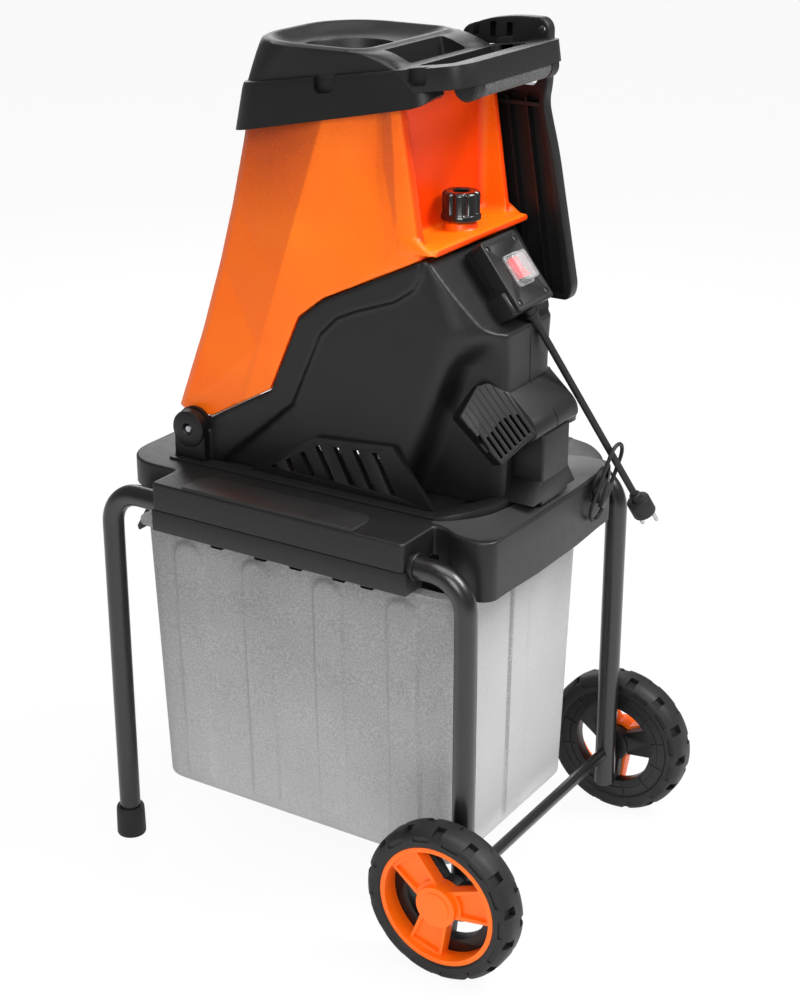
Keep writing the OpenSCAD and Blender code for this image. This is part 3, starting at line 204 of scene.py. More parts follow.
hopperOrange()
moulded("redPlastic", "D80E1E", "E3162A", 0.22, 900, 0.01, Coat_Weight=0.5)
moulded("knobPlastic", "0F0F0F", "161616", 0.20, 900, 0.01, Coat_Weight=0.5, Coat_Roughness=0.08)
moulded("motorPaint", "38393C", "404145", 0.42, 600, 0.05)
moulded("copperWinding", "8A5A32", "A8703C", 0.40, 260, 0.25, Metallic=0.7)
moulded("brassTurned", "B8933E", "C9A650", 0.28, 500, 0.02, Metallic=1.0)


def gripRubber():
    # grey grip with a fine pebbled skin
    made = Finish("gripRubber")
    cells = made.node("TexVoronoi", {}, {"Vector": made.place, "Scale": 420.0})
    fine = made.noise(1500, 2)
    made.set(Base_Color=made.mix(made.ramp(cells, 0.1, 0.7), tone("5A5A5A"), tone("3E3E3E")),
             Roughness=0.55 + fine * 0.12,
             Normal=made.bump(cells * -1.0 + fine * 0.3, 0.5 * mm))
    finishes["gripRubber"] = made.material


def zincSteel():
    made = Finish("zincSteel", Metallic=1.0)
    streak = made.noise(300, 4, (1, 1, 9))
    made.set(Base_Color=made.mix(streak, tone("9A9CA0"), tone("C2C4C8")),
             Roughness=0.26 + streak * 0.16, Normal=made.bump(streak, 0.02 * mm))
    finishes["zincSteel"] = made.material


def milkyBin():
    # milky plastic: dense grey speckle, paler towards the floor; the rear-facing side is painted paler, a painted
    # highlight where the key lamp falls
    made = Finish("milkyBin", Specular_IOR_Level=0.35)
    height = made.node("SeparateXYZ", {}, {0: made.place}, out=2)
    climb = made.node("MapRange", {}, {0: height, 1: 0.07, 2: 0.36, 3: 0.0, 4: 1.0})
    facing = made.node("SeparateXYZ", {}, {0: made.node("TexCoord", out="Normal")}, out=0)
    # painted highlight: faces towards the rear get the paler colour
    rearward = made.node("MapRange", {}, {0: facing, 1: 0.8, 2: 0.97, 3: 0.0, 4: 1.0})
    speck = made.ramp(made.noise(560, 1), 0.34, 0.64)
    cloud = made.ramp(made.noise(11, 3), 0.3, 0.7)
    body = made.mix(climb, tone("B2B2B2"), tone("8E8E8E"))
    flecked = made.mix(speck * (0.22 + climb * 0.3), body, tone("585858"))
    pale = made.mix(speck * 0.14, tone("B2B2B2"), tone("8C8C8C"))
    sides = made.mix(rearward * (1 - climb * 0.25), flecked, pale)
    made.set(Base_Color=made.mix(cloud * 0.08, sides, tone("E6E6E6")),
             Roughness=0.46 + speck * 0.1, Normal=made.bump(speck, 0.05 * mm))
    finishes["milkyBin"] = made.material


def clearCover():
    made = Finish("clearCover", Roughness=0.06, Specular_IOR_Level=0.7)
    ripple = made.noise(160, 2)
    made.set(Base_Color=made.mix(ripple, tone("F4F6F7"), tone("FFFFFF")),
             Alpha=0.10 + ripple * 0.10, Normal=made.bump(ripple, 0.5 * mm))
    finishes["clearCover"] = made.material


gripRubber()
zincSteel()
milkyBin()
clearCover()


def paleFloor():
    # white to the eye, dimmer in reflections, and it keeps the shadow
    made = Finish("paleFloor", Roughness=0.8)
    made.set(Base_Color=made.mix(made.noise(3, 2), tone("F2F2F2"), tone("F6F6F6")))
    seen = [made.node("LightPath", out=way) for way in ("Is Camera Ray", "Is Glossy Ray", "Is Transmission Ray")]
    share = (seen[0] + seen[2]) * 0.93 + seen[1] * 0.3
    glow = made.node("Emission", {}, {"Color": (1, 1, 1, 1), "Strength": 1.0})
    blend = made.node("MixShader", {}, {0: share, 2: glow})
    made.tree.links.new(made.shader.outputs[0], blend.out.node.inputs[1])
    made.tree.links.new(blend.out, made.tree.nodes["Material Output"].inputs[0])
    finishes["paleFloor"] = made.material


paleFloor()
world = bpy.data.worlds.new("studio")
scene.world = world
world.use_nodes = True
sky = world.node_tree
paths = sky.nodes.new("ShaderNodeLightPath")
seenDirect = sky.nodes.new("ShaderNodeMath")
level = sky.nodes.new("ShaderNodeMapRange")
level.inputs[3].default_value = 0.24  # light on the object
level.inputs[4].default_value = 1.0   # what the camera sees
sky.links.new(paths.outputs["Is Camera Ray"], seenDirect.inputs[0])
sky.links.new(paths.outputs["Is Transmission Ray"], seenDirect.inputs[1])
sky.links.new(seenDirect.outputs[0], level.inputs[0])
sky.links.new(level.outputs[0], sky.nodes["Background"].inputs["Strength"])
sky.nodes["Background"].inputs["Color"].default_value = (1, 1, 1, 1)
print("finishes:", len(finishes))


# shape helpers, all in millimetres until a piece is finished
def shift(x, y, z):
    return Matrix.Translation((x, y, z))


def quarter(axis):
    return Matrix.Rotation(math.pi / 2, 4, axis)


def turnBy(degrees, axis):
    return Matrix.Rotation(math.radians(degrees), 4, axis)


def isVert(item):
    return isinstance(item, bmesh.types.BMVert)


def slab(points, depth, corner=0, edge=0, steps=4, edgeSteps=2):
    # flat outline with rounded corners, drawn up along z, its rims softened
    bm = bmesh.new()
    ring = [bm.verts.new((p[0], p[1], 0)) for p in points]
    bm.faces.new(ring)
    sizes = list(corner) if isinstance(corner, (list, tuple)) else [corner] * len(ring)
    for size in sorted(set(sizes)):
        turn = [v for v, s in zip(ring, sizes) if s == size and v.is_valid]
        if size:
            bmesh.ops.bevel(bm, geom=turn, offset=size, segments=steps, profile=0.5,
                            affect="VERTICES", material=-1)
    grown = bmesh.ops.extrude_face_region(bm, geom=list(bm.faces))
    bmesh.ops.translate(bm, vec=(0, 0, depth), verts=[g for g in grown["geom"] if isVert(g)])
    bmesh.ops.recalc_face_normals(bm, faces=bm.faces)
    if edge:
        rims = [e for e in bm.edges if abs(e.verts[0].co.z - e.verts[1].co.z) < 1e-4]
        bmesh.ops.bevel(bm, geom=rims, offset=edge, segments=edgeSteps, profile=0.5,
                        affect="EDGES", material=-1, clamp_overlap=True)
    return bm


def sideways(y):
    # local x, y to the part's x, z; local z runs to -y from there
    return shift(0, y, 0) @ quarter("X")


def sideSlab(points, y0, y1, **soft):
    bm = slab(points, y1 - y0, **soft)
    bm.transform(sideways(y1))
    return bm


def flatSlab(points, z0, z1, **soft):
    bm = slab(points, z1 - z0, **soft)
    bm.transform(shift(0, 0, z0))
    return bm


def rect(x0, x1, y0, y1):
    return [(x0, y0), (x1, y0), (x1, y1), (x0, y1)]


def box(x0, x1, y0, y1, z0, z1, edge=0, corner=0):
    return flatSlab(rect(x0, x1, y0, y1), z0, z1, edge=edge, corner=corner)


def turned(profile, steps=72, closed=False):
    # (radius, z) profile spun about z
    bm = bmesh.new()
    verts = [bm.verts.new((r, 0, z)) for r, z in profile]
    pairs = list(zip(verts, verts[1:])) + ([(verts[-1], verts[0])] if closed else [])
    edges = [bm.edges.new(pair) for pair in pairs]
    bmesh.ops.spin(bm, geom=verts + edges, cent=(0, 0, 0), axis=(0, 0, 1), angle=2 * math.pi,
                   steps=steps, use_merge=True)
    bmesh.ops.remove_doubles(bm, verts=bm.verts, dist=1e-3)
    bmesh.ops.recalc_face_normals(bm, faces=bm.faces)
    return bm


def rod(radius, start, end, steps=32):
    return turned([(0, start), (radius, start), (radius, end), (0, end)], steps)


def loft(rings, closed=False):
    # one ring drawn on through the next ones
    bm = bmesh.new()
    count = len(rings[0])
    verts = first = [bm.verts.new(p) for p in rings[0]]
    edges = [bm.edges.new((verts[i], verts[(i + 1) % count])) for i in range(count)]
    for ring in rings[1:]:
        index = {v.co.to_tuple(3): i for i, v in enumerate(verts)}
        grown = bmesh.ops.extrude_edge_only(bm, edges=edges)["geom"]
        fresh = [None] * count
        for v in filter(isVert, grown):
            fresh[index[v.co.to_tuple(3)]] = v
        for v, p in zip(fresh, ring):
            v.co = p
        verts = fresh
        edges = [bm.edges.get((verts[i], verts[(i + 1) % count])) for i in range(count)]
    if closed:
        starts = [bm.edges.get((first[i], first[(i + 1) % count])) for i in range(count)]
        bmesh.ops.bridge_loops(bm, edges=starts + edges)
    else:
        bm.faces.new(first)
        bm.faces.new(verts)
    bmesh.ops.recalc_face_normals(bm, faces=bm.faces)
    return bm


def sweep(path, radius, sides):
    # round rod along a path; radius may be a list
    points = [Vector(p) for p in path]
    sizes = radius if isinstance(radius, list) else [radius] * len(points)
    side = None
    rings = []
    for i, p in enumerate(points):
        ahead = (points[min(i + 1, len(points) - 1)] - points[max(i - 1, 0)]).normalized()
        if side is None:
            side = ahead.orthogonal().normalized()
        side = (side - ahead * side.dot(ahead)).normalized()
        other = ahead.cross(side)
        rings.append([p + (side * math.cos(t) + other * math.sin(t)) * sizes[i]
                      for t in (2 * math.pi * k / sides for k in range(sides))])
    return loft(rings)


def arc(cx, cz, radius, start, end, steps):
    return [(cx + radius * math.cos(math.radians(a)), 0, cz + radius * math.sin(math.radians(a)))
            for a in (start + (end - start) * k / steps for k in range(steps + 1))]


def softEdges(bm, width, segments=2, least=28, keep=None):
    sharp = [e for e in bm.edges if e.is_manifold and e.calc_face_angle(0) > math.radians(least)
             and (keep is None or keep(e))]
    bmesh.ops.bevel(bm, geom=sharp, offset=width, segments=segments, profile=0.5, affect="EDGES",
                    material=-1, clamp_overlap=True)
    return bm


def nodeCopy(*names):
    # the CAD node's own mesh, merged and cleared of its flat triangles
    bm = bmesh.new()
    for name in names:
        bm.from_mesh(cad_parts[name].data)
    bm.transform(Matrix.Scale(1 / mm, 4))
    bmesh.ops.remove_doubles(bm, verts=bm.verts, dist=0.004)
    bmesh.ops.dissolve_limit(bm, angle_limit=math.radians(0.6), verts=bm.verts, edges=bm.edges)
    return bm


def joined(*parts):
    bm = bmesh.new()
    for part in parts:
        mesh = bpy.data.meshes.new("scratch")
        part.to_mesh(mesh)
        bm.from_mesh(mesh)
        bpy.data.meshes.remove(mesh)
        part.free()
    return bm


def flipped(bm):
    # a copy mirrored to the other side of the part
    twin = bm.copy()
    bmesh.ops.scale(twin, vec=(1, -1, 1), verts=twin.verts)
    bmesh.ops.reverse_faces(twin, faces=twin.faces)
    return twin


def both(bm):
    return joined(flipped(bm), bm)


def moved(bm, *steps):
    for step in steps:
        bm.transform(step)
    return bm


def scratch(bm):
    mesh = bpy.data.meshes.new("scratch")
    bm.to_mesh(mesh)
    bm.free()
    obj = bpy.data.objects.new("scratch", mesh)
    scene.collection.objects.link(obj)
    return obj


def baked(obj, others=()):
    # the scratch object's finished mesh; the scratch objects go away
    done = obj.evaluated_get(bpy.context.evaluated_depsgraph_get())
    bm = bmesh.new()
    bm.from_mesh(done.to_mesh())
    done.to_mesh_clear()
    for old in (obj, *others):
        mesh = old.data
        bpy.data.objects.remove(old)
        bpy.data.meshes.remove(mesh)
    return bm


def carve(bm, *tools, how="DIFFERENCE"):
    base = scratch(bm)
    cutters = [scratch(tool) for tool in tools]
    for cutter in cutters:
        cut = base.modifiers.new("cut", "BOOLEAN")
        cut.object, cut.operation, cut.solver = cutter, how, "EXACT"
    return baked(base, cutters)


def melt(forms, voxel, rounds):
    # forms run together with soft inner and outer corners
    base = scratch(joined(*forms))
    skin = base.modifiers.new("skin", "REMESH")
    skin.mode, skin.voxel_size = "VOXEL", voxel
    soft = base.modifiers.new("soft", "SMOOTH")
    soft.factor, soft.iterations = 0.5, rounds
    return baked(base)


def piece(name, bm, body, finish, nodes=(), smooth=32):
    bm.transform(Matrix.Scale(mm, 4))
    mesh = bpy.data.meshes.new(name)
    bm.to_mesh(mesh)
    bm.free()
    mesh.shade_smooth()
    mesh.set_sharp_from_angle(angle=math.radians(smooth))
    mesh.materials.append(finishes[finish])
    made = bpy.data.objects.new(name, mesh)
    scene.collection.objects.link(made)
    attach(made, body)
    if nodes:
        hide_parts(*nodes)
    return made


def pair(label, bm, finish, node):
    # the same black piece on the left and on the right
    piece("left" + label, bm.copy(), "base", finish, ("left_" + node,))
    piece("right" + label, flipped(bm), "base", finish, ("right_" + node,))


floorMesh = bpy.data.meshes.new("floor")
floorShape = bmesh.new()
bmesh.ops.create_grid(floorShape, x_segments=2, y_segments=2, size=14)
floorShape.to_mesh(floorMesh)
floorShape.free()
floorMesh.materials.append(finishes["paleFloor"])
floor = bpy.data.objects.new("floor", floorMesh)
scene.collection.objects.link(floor)


# cord
cordLead = {"diameter": 7, "start": (153.7, 12, 590.7), "end": (212.89, 111.69, 401.63), "steps": 12}
cordLead["route"] = [tuple(Vector(cordLead["start"]).lerp(Vector(cordLead["end"]), k / cordLead["steps"]))
                     for k in range(cordLead["steps"] + 1)]


def mainsCord():
    curve = bpy.data.curves.new("mainsCord", "CURVE")
    curve.dimensions = "3D"
    curve.bevel_depth = cordLead["diameter"] / 2 * mm
    curve.bevel_resolution = 5
    curve.use_fill_caps = True
    line = curve.splines.new("POLY")
    line.points.add(len(cordLead["route"]) - 1)
    for spot, place in zip(line.points, cordLead["route"]):
        spot.co = (*[v * mm for v in place], 1)
    curve.materials.append(finishes["darkRubber"])
    lead = bpy.data.objects.new("mainsCord", curve)
    scene.collection.objects.link(lead)
    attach(lead, "base")
    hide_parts("cord")
    spots = [Vector(p) for p in cordLead["route"]]
    length = sum((b - a).length for a, b in zip(spots, spots[1:])) * mm
    return lead, length


lead, leadLength = mainsCord()
leadDown = (Vector(cordLead["route"][-1]) - Vector(cordLead["route"][-3])).normalized()
leadUp = (Vector(cordLead["route"][0]) - Vector(cordLead["route"][2])).normalized()


def along(direction, start):
    # local z to a direction, with local y kept level as in the CAD
    lean = math.acos(direction.z)
    turn = math.atan2(direction.y, direction.x)
    return (Matrix.Translation(start) @ Matrix.Rotation(turn, 4, "Z") @ Matrix.Rotation(lean, 4, "Y"))


mainsPlug = {"neck": 8, "bodyRadius": 12, "bodyLength": 19, "pinGap": 15, "pinRadius": 2, "pinLength": 14, "turn": -45}


def plugPieces():
    d = mainsPlug
    r, low, top = d["bodyRadius"], d["neck"], d["neck"] + d["bodyLength"]
    body = turned([(0, 0), (5, 0), (5.8, 1), (5.8, low - 1), (6.4, low), (r - 1.4, low + 0.2), (r - 0.4, low + 0.7),
                   (r, low + 1.8), (r, top - 1.2), (r - 0.4, top - 0.3), (r - 1.4, top), (4, top), (0, top)], 48)
    place = along(leadDown, cordLead["route"][-1]) @ turnBy(d["turn"], "Z")
    plug = piece("mainsPlug", moved(body, place), "base", "darkRubber", ("plug",))
    pin = turned([(0, top - 6), (d["pinRadius"], top - 6), (d["pinRadius"], top + d["pinLength"] - 2),
                  (d["pinRadius"] - 0.8, top + d["pinLength"] - 0.4), (0, top + d["pinLength"])], 24)
    pin.transform(shift(0, -d["pinGap"] / 2, 0))
    pins = piece("plugPins", moved(both(pin), place), "base", "zincSteel", ("plug_pins",))
    return plug, pins


plug, pins = plugPieces()


def cordGland():
    # slim tapered strain relief with rings, drawn back to the switch box
    profile = [(0, 0), (4.2, 0), (4.6, 0.8)]
    for k in range(4):
        z = 2 + k * 3
        profile += [(4.6 + k * 0.3, z), (5.1 + k * 0.3, z + 0.4), (5.1 + k * 0.3, z + 1.6), (4.7 + k * 0.3, z + 2)]
    profile += [(6, 14), (7, 14.4), (7, 17.6), (6, 18), (6, 24), (0, 24)]
    bm = moved(turned(profile, 40), along(leadUp, cordLead["route"][0]))
    piece("cordGland", bm, "base", "darkRubber", ("cord_gland",))


cordGland()
print("cord and plug made, cord", round(leadLength, 4), "m")


# stand
stand = {"legY": 152, "radius": 11, "frontX": -239.5, "rearX": 175, "bend": 36, "barZ": 399, "frontLow": 5,
         "rearLow": 42, "bore": 11.4, "axleZ": 80}


def tubeBore():
    # room for the left tube's top bar
    return moved(rod(stand["bore"], -400, 400), quarter("Y"), shift(0, -stand["legY"], stand["barZ"]))


def legFrame():
    d = stand
    high = d["barZ"] - d["bend"]
    path = [(d["frontX"], 0, d["frontLow"]), (d["frontX"], 0, high - 6)]
    path += arc(d["frontX"] + d["bend"], high, d["bend"], 180, 90, 16)
    path += arc(d["rearX"] - d["bend"], high, d["bend"], 90, 0, 16)
    path += [(d["rearX"], 0, high - 6), (d["rearX"], 0, d["rearLow"] + 1), (d["rearX"], 0, d["rearLow"])]
    sizes = [d["radius"]] * (len(path) - 1) + [d["radius"] - 1]
    return moved(sweep(path, sizes, 40), shift(0, -d["legY"], 0))


for side, other in (("left", False), ("right", True)):
    leg = legFrame()
    cap = turned([(0, 0), (13, 0), (14.8, 0.8), (15.5, 2.6), (15.1, 26), (14.9, 31), (14.2, 33.4), (12.6, 34),
                  (11, 33.6), (11, 20), (0, 20)], 48)
    cap.transform(shift(stand["frontX"], -stand["legY"], 0))
    # collar where the tube leaves the deck
    ring = moved(turned([(10.8, 0), (12.6, 0), (13.4, 0.8), (13.4, 3.2), (12.6, 4), (10.8, 4)], 40, closed=True),
                 quarter("Y"), shift(119.5, -stand["legY"], stand["barZ"]))
    if other:
        leg, cap, ring = (joined(flipped(bm)) for bm in (leg, cap, ring))
    piece(side + "LegTube", leg, "base", "tubePaint", (side + "_leg_frame",))
    piece(side + "FootCap", cap, "base", "darkRubber", (side + "_foot",))
    piece(side + "TubeCollar", ring, "base", "blackPlastic")

axleRod = moved(turned([(0, -197), (5, -197), (6, -196), (6, 196), (5, 197), (0, 197)], 40),
                quarter("X"), shift(stand["rearX"], 0, stand["axleZ"]))
piece("axleRod", axleRod, "base", "tubePaint", ("axle",))
print("stand made")


# wheels
wheel = {"radius": 80, "width": 37, "inner": 167, "x": 175, "lugs": 14, "gap": 9.5, "gapDepth": 5.2, "gapLength": 15}


def wheelPlace():
    return (quarter("X"), shift(wheel["x"], -wheel["inner"], wheel["radius"]))


def tyreShape():
    d = wheel
    r, w = d["radius"], d["width"]
    bm = turned([(62, 2), (64, 0.4), (70, 0), (73.5, 1.0), (76.6, 3.4), (79, 7), (r, 12), (r, w - 12), (79, w - 7),
                 (76.6, w - 3.4), (73.5, w - 1), (70, w), (64, w - 0.4), (62, w - 2)], 112, closed=True)
    gaps = []
    for i in range(d["lugs"]):
        for part, z0, z1 in ((0, -2, d["gapLength"]), (0.5, w - d["gapLength"], w + 2)):
            turn = Matrix.Rotation(2 * math.pi * (i + part) / d["lugs"], 4, "Z")
            gap = box(r - d["gapDepth"], r + 6, -d["gap"] / 2, d["gap"] / 2, z0, z1)
            gaps.append(moved(gap, turn))
        for part, z0, z1 in ((0.5, -2, 1.2), (0, w - 1.2, w + 2)):
            turn = Matrix.Rotation(2 * math.pi * (i + part) / d["lugs"], 4, "Z")
            gaps.append(moved(box(68.5, r + 6, -9, 9, z0, z1), turn))
    return moved(carve(bm, joined(*gaps)), *wheelPlace())


def rimShape():
    bm = softEdges(nodeCopy("left_rim"), 0.8, 2, 35)
    ribs = []
    for k in range(12):
        rib = box(47, 61, -0.8, 0.8, 1.2, 3, edge=0.3)
        ribs.append(moved(rib, turnBy(15 + 30 * k, "Z"), *wheelPlace()))
    ring = moved(turned([(52.2, 1.3), (53.4, 1.3), (53.4, 3), (52.2, 3)], 72, closed=True), *wheelPlace())
    return joined(bm, ring, *ribs)


tyre, rim = tyreShape(), rimShape()
cover = softEdges(nodeCopy("left_wheel_cover"), 1.1, 3, 35)
for side, other in (("left", False), ("right", True)):
    for name, bm, finish, slot in (("Tyre", tyre, "tyreRubber", "tyre"), ("Rim", rim, "blackPlastic", "black_plastic"),
                                   ("Wheel_cover", cover, "orangePlastic", "orange_plastic")):
        copy = flipped(bm) if other else bm.copy()
        piece(side + name.replace("_c", "C"), copy, side + "_wheel", finish, (side + "_" + name.lower(),), 30)
print("wheels made")


# deck
deckForm = {"halfWidth": 168, "endHalf": 128, "front": -248, "rear": 188.5, "wideFront": -175, "wideRear": 117,
            "low": 397, "top": 425, "skirt": 366, "endRound": 42}


def deckOutline(grow=0):
    # near half from front to rear, with the corner sizes, then its mirror
    d = deckForm
    wide, end, front, rear = d["halfWidth"] - grow, d["endHalf"] - grow, d["front"] + grow, d["rear"] - grow
    wideFront, wideRear = d["wideFront"] + grow, d["wideRear"] - grow
    near = [(front, -end, d["endRound"] - grow), (wideFront, -end, 5 - grow), (wideFront, -wide, 5),
            (wideRear, -wide, 5), (wideRear, -end + 14, 3), (130, -end + 14, 8), (150, -end + 1, 14),
            (rear - 4, -end + 1, 16 - grow), (rear - 4, -95, 0), (rear - 0.8, -40, 0)]
    full = near + [(x, -y, r) for x, y, r in reversed(near)]
    return [(x, y) for x, y, r in full], [max(r, 0) for x, y, r in full]


def deckSlab(z0, z1, grow=0):
    points, turns = deckOutline(grow)
    return flatSlab(points, z0, z1, corner=turns, steps=8)


def chipHole(low):
    return box(-150, 40, -70, 70, low, deckForm["top"] + 4)


def deckShape():
    d = deckForm
    top = deckSlab(d["low"], d["top"])
    rim = [e for e in top.edges if all(abs(v.co.z - d["top"]) < 1e-3 for v in e.verts)]
    bmesh.ops.bevel(top, geom=rim, offset=2.6, segments=4, profile=0.5, affect="EDGES", material=-1)
    rearHalf = box(d["wideRear"] + 6, 300, -200, 200, 300, 500)
    skirt = carve(deckSlab(d["skirt"], d["low"] + 4), rearHalf, how="INTERSECT")
    body = carve(top, skirt, how="UNION")
    room = deckSlab(d["skirt"] - 4, d["top"] - 4, 4)
    wing = flatSlab([(100, 100), (182.5, 100), (169, 130), (154, 148), (137, 161), (112, 167), (100, 167)],
                    413, d["top"] - 0.2, corner=[0, 8, 10, 10, 8, 6, 0], edge=2.4, steps=5, edgeSteps=3)
    body = carve(carve(body, room, chipHole(d["low"])), wing, how="UNION")
    return carve(body, both(tubeBore()))


rearBorder = {  # outer edge, inner edge and height of the sloping border, near half
    "outer": [(114, -113.4), (122, -113), (132, -116), (146, -123.5), (158, -126), (170, -125), (178, -120),
              (183, -111), (184.6, -90), (187, -45), (187.6, -15)],
    "inner": [(110, -104), (117, -102.5), (126, -98.5), (134, -93), (141, -86), (147, -78), (151, -70),
              (154, -60), (156.5, -45), (158.5, -25), (159.5, -8)],
    "foot": 425.4, "hidden": 418, "height": [425.4, 427.2, 429.4, 431.2, 432.4, 433, 433.4, 433.6, 433.6, 433.6, 433.6],
}


def borderShape():
    # sloping rear border, groove and the edge of the plate under the housing, drawn round the rear;
    # its skin is a piece of its own, a paler sheet over the band that is a painted highlight
    rings, skin = [], []
    d = rearBorder
    stations = list(zip(d["outer"], d["inner"], d["height"]))
    stations += [((ox, -oy), (ix, -iy), z) for (ox, oy), (ix, iy), z in reversed(stations)]
    for (ox, oy), (ix, iy), z in stations:
        toward = Vector((ix - ox, iy - oy, 0)).normalized()
        outer, inner = Vector((ox, oy, 0)), Vector((ix, iy, 0))
        foot, low, high = d["foot"], d["foot"] + (z - d["foot"]) * 0.45, z + 2
        fromOuter = [(2, d["hidden"]), (1.4, foot - 0.8), (3, foot)]
        fromInner = [(-1.4, low), (-0.4, low - 0.2), (0, low - 0.8), (0.3, low - 3), (1.6, low - 3), (1.9, high - 1),
                     (2.3, high - 0.3), (3.2, high), (26, high), (26, d["hidden"])]
        spots = [(outer + toward * t, h) for t, h in fromOuter] + [(inner + toward * t, h) for t, h in fromInner]
        rings.append([(p.x, p.y, h) for p, h in spots])
        over = [(outer + toward * 3.4, foot - 0.4), (outer + toward * 3.4, foot + 0.3),
                (inner - toward * 1.8, low + 0.3), (inner - toward * 1.8, low - 0.5)]
        skin.append([(p.x, p.y, h) for p, h in over])
    return loft(rings), loft(skin)


def deckTrim():
    # raised panels on the wide top, and the rim line beside the grilles
    top = deckForm["top"]
    panel = flatSlab([(-138, -167), (62, -167), (62, -127), (-138, -127)], top - 1, top + 2.6,
                     corner=[0, 0, 16, 16], edge=1.8, steps=6, edgeSteps=3)
    plate = flatSlab([(-208, -101), (112, -101), (112, 101), (-208, 101)], top - 1, top + 1.4,
                     corner=[20, 10, 10, 20], edge=0.7, steps=8)
    plate = carve(plate, chipHole(top - 4))
    lip = both(flatSlab([(-200, -106.5), (108, -103.5), (109, -101.5), (-200, -104)], top - 1, top + 2.4, edge=0.6))
    return joined(plate, lip), both(panel)


(trim, panels), (border, skin) = deckTrim(), borderShape()
piece("deckBody", joined(deckShape(), trim, border), "base", "deckPlastic", ("deck",), 30)
piece("deckPanels", panels, "base", "panelPlastic", (), 30)
# the border band in paler plastic: a painted highlight where the key lamp falls
piece("litBorderSkin", skin, "base", "litBorderPlastic", (), 30)


def railShape():
    d = deckForm
    wall = box(d["wideFront"], d["wideRear"] + 3, -d["halfWidth"], -139, 374, 396.4, edge=1.2)
    wall = carve(wall, tubeBore())
    tabs = []  # hooks under the bin's rim
    for x in (-123, -70, -28, 22, 54):
        tabs.append(box(x, x + 13, -143, -139, 358, 378, edge=0.6))
        tabs.append(box(x, x + 13, -143, -131, 358, 361, edge=0.6))
    return joined(wall, *tabs)


pair("Rail", railShape(), "deckPlastic", "clamp_rail")
print("deck made")


# bin
binForm = {"front": -222, "rear": 148, "halfWidth": 128, "footHalf": 118, "draft": 6, "low": 62, "top": 361,
           "round": 18, "wall": 2.5, "rimHalf": 138.5, "rimOver": 3, "rimHeight": 4, "ribCount": 4, "ribWidth": 34,
           "ribPitch": 85, "ribMid": -37, "ribTop": 349, "ribLow": 74, "ribHeight": 3.4, "ribEdge": 3.6, "rows": 120}


def roundRing(x0, x1, half, front, rear, z, steps, gap):
    # level rounded rectangle, evenly divided, counted the same on every level
    ring = []
    for cx, cy, r, start in ((x1 - rear, half - rear, rear, 0), (x0 + front, half - front, front, 90),
                             (x0 + front, -half + front, front, 180), (x1 - rear, -half + rear, rear, 270)):
        ring += [(cx + r * math.cos(math.radians(start + 90 * k / steps)),
                  cy + r * math.sin(math.radians(start + 90 * k / steps)), z) for k in range(steps + 1)]
    full = []
    for i, p in enumerate(ring):
        q = ring[(i + 1) % len(ring)]
        parts = gap[i // (steps + 1) % 2] if (i + 1) % (steps + 1) == 0 else 1
        full += [(p[0] + (q[0] - p[0]) * k / parts, p[1] + (q[1] - p[1]) * k / parts, z) for k in range(parts)]
    return full


def easeStep(value, edge):
    t = min(max(value / edge + 0.5, 0), 1)
    return t * t * (3 - 2 * t)


def ribHeight(across, z, d):
    # arched rib: how far a point lies inside its outline
    middle = d["ribTop"] - d["ribWidth"] / 2
    half = d["ribWidth"] / 2
    inside = half - abs(across) if z < middle else half - math.hypot(across, z - middle)
    return d["ribHeight"] * easeStep(inside, d["ribEdge"]) * easeStep(z - d["ribLow"], 16)


def binRing(pull, half, z, corner=binForm["round"]):
    return roundRing(binForm["front"] + pull, binForm["rear"] - pull, half, corner, corner, z, 8, (120, 80))


def binShape():
    d = binForm
    ribs = [d["ribMid"] + (k - (d["ribCount"] - 1) / 2) * d["ribPitch"] for k in range(d["ribCount"])]
    rings = []
    for row in range(d["rows"] + 1):
        share = row / d["rows"]
        z = d["low"] + (d["top"] - d["low"]) * share
        tuck = 5.0 * max(0, 1 - (z - d["low"]) / 7) ** 2  # rounded foot
        pull = d["draft"] * (1 - share) + tuck
        half = d["halfWidth"] + (d["footHalf"] - d["halfWidth"]) * (1 - share) - tuck
        ring = []
        for x, y, _ in binRing(pull, half, z):
            if abs(abs(y) - half) < 0.01:
                out = max(ribHeight(x - rib, z, d) for rib in ribs)
                ring.append((x, y + math.copysign(out, y), z))
            elif x < d["front"] + pull + 0.01 or x > d["rear"] - pull - 0.01:
                out = ribHeight(y, z, d)
                ring.append((x + math.copysign(out, x), y, z))
            else:
                ring.append((x, y, z))
        rings.append(ring)
    high, inner = d["top"] + d["rimHeight"], d["halfWidth"] - d["wall"]
    rings += [binRing(-d["rimOver"], d["rimHalf"], z) for z in (d["top"], high)]
    for z, pull, less in ((high, d["wall"], 0), (d["low"] + 20, d["draft"] + d["wall"], 10),
                          (d["low"] + d["wall"], 14, 16)):
        rings.append(binRing(pull, inner - less, z, d["round"] - 2))
    return loft(rings)


piece("binShell", binShape(), "bin", "milkyBin", ("bin",), 40)
pullBar = sideSlab([(-225, 365), (-232, 365), (-245, 343), (-243, 338), (-225, 350)], -110, 110,
                   corner=1.5, edge=2.5, edgeSteps=3)
piece("binPull", pullBar, "bin", "blackPlastic", ("bin_pull",))
print("bin made")


# housing
house = {"base": 425, "band": 88, "panel": 83, "inner": 79, "nose": 41, "hingeX": -181, "hingeZ": 458}


def lifted(points):
    return [(x, h + house["base"]) for x, h in points]


parting = [(84, 240), (-23, 189), (-51, 167), (-86, 88), (-168, 42), (-196, 28)]


def blend(a, b, share):
    return [tuple(p + (q - p) * share for p, q in zip(m, n)) for m, n in zip(a, b)]


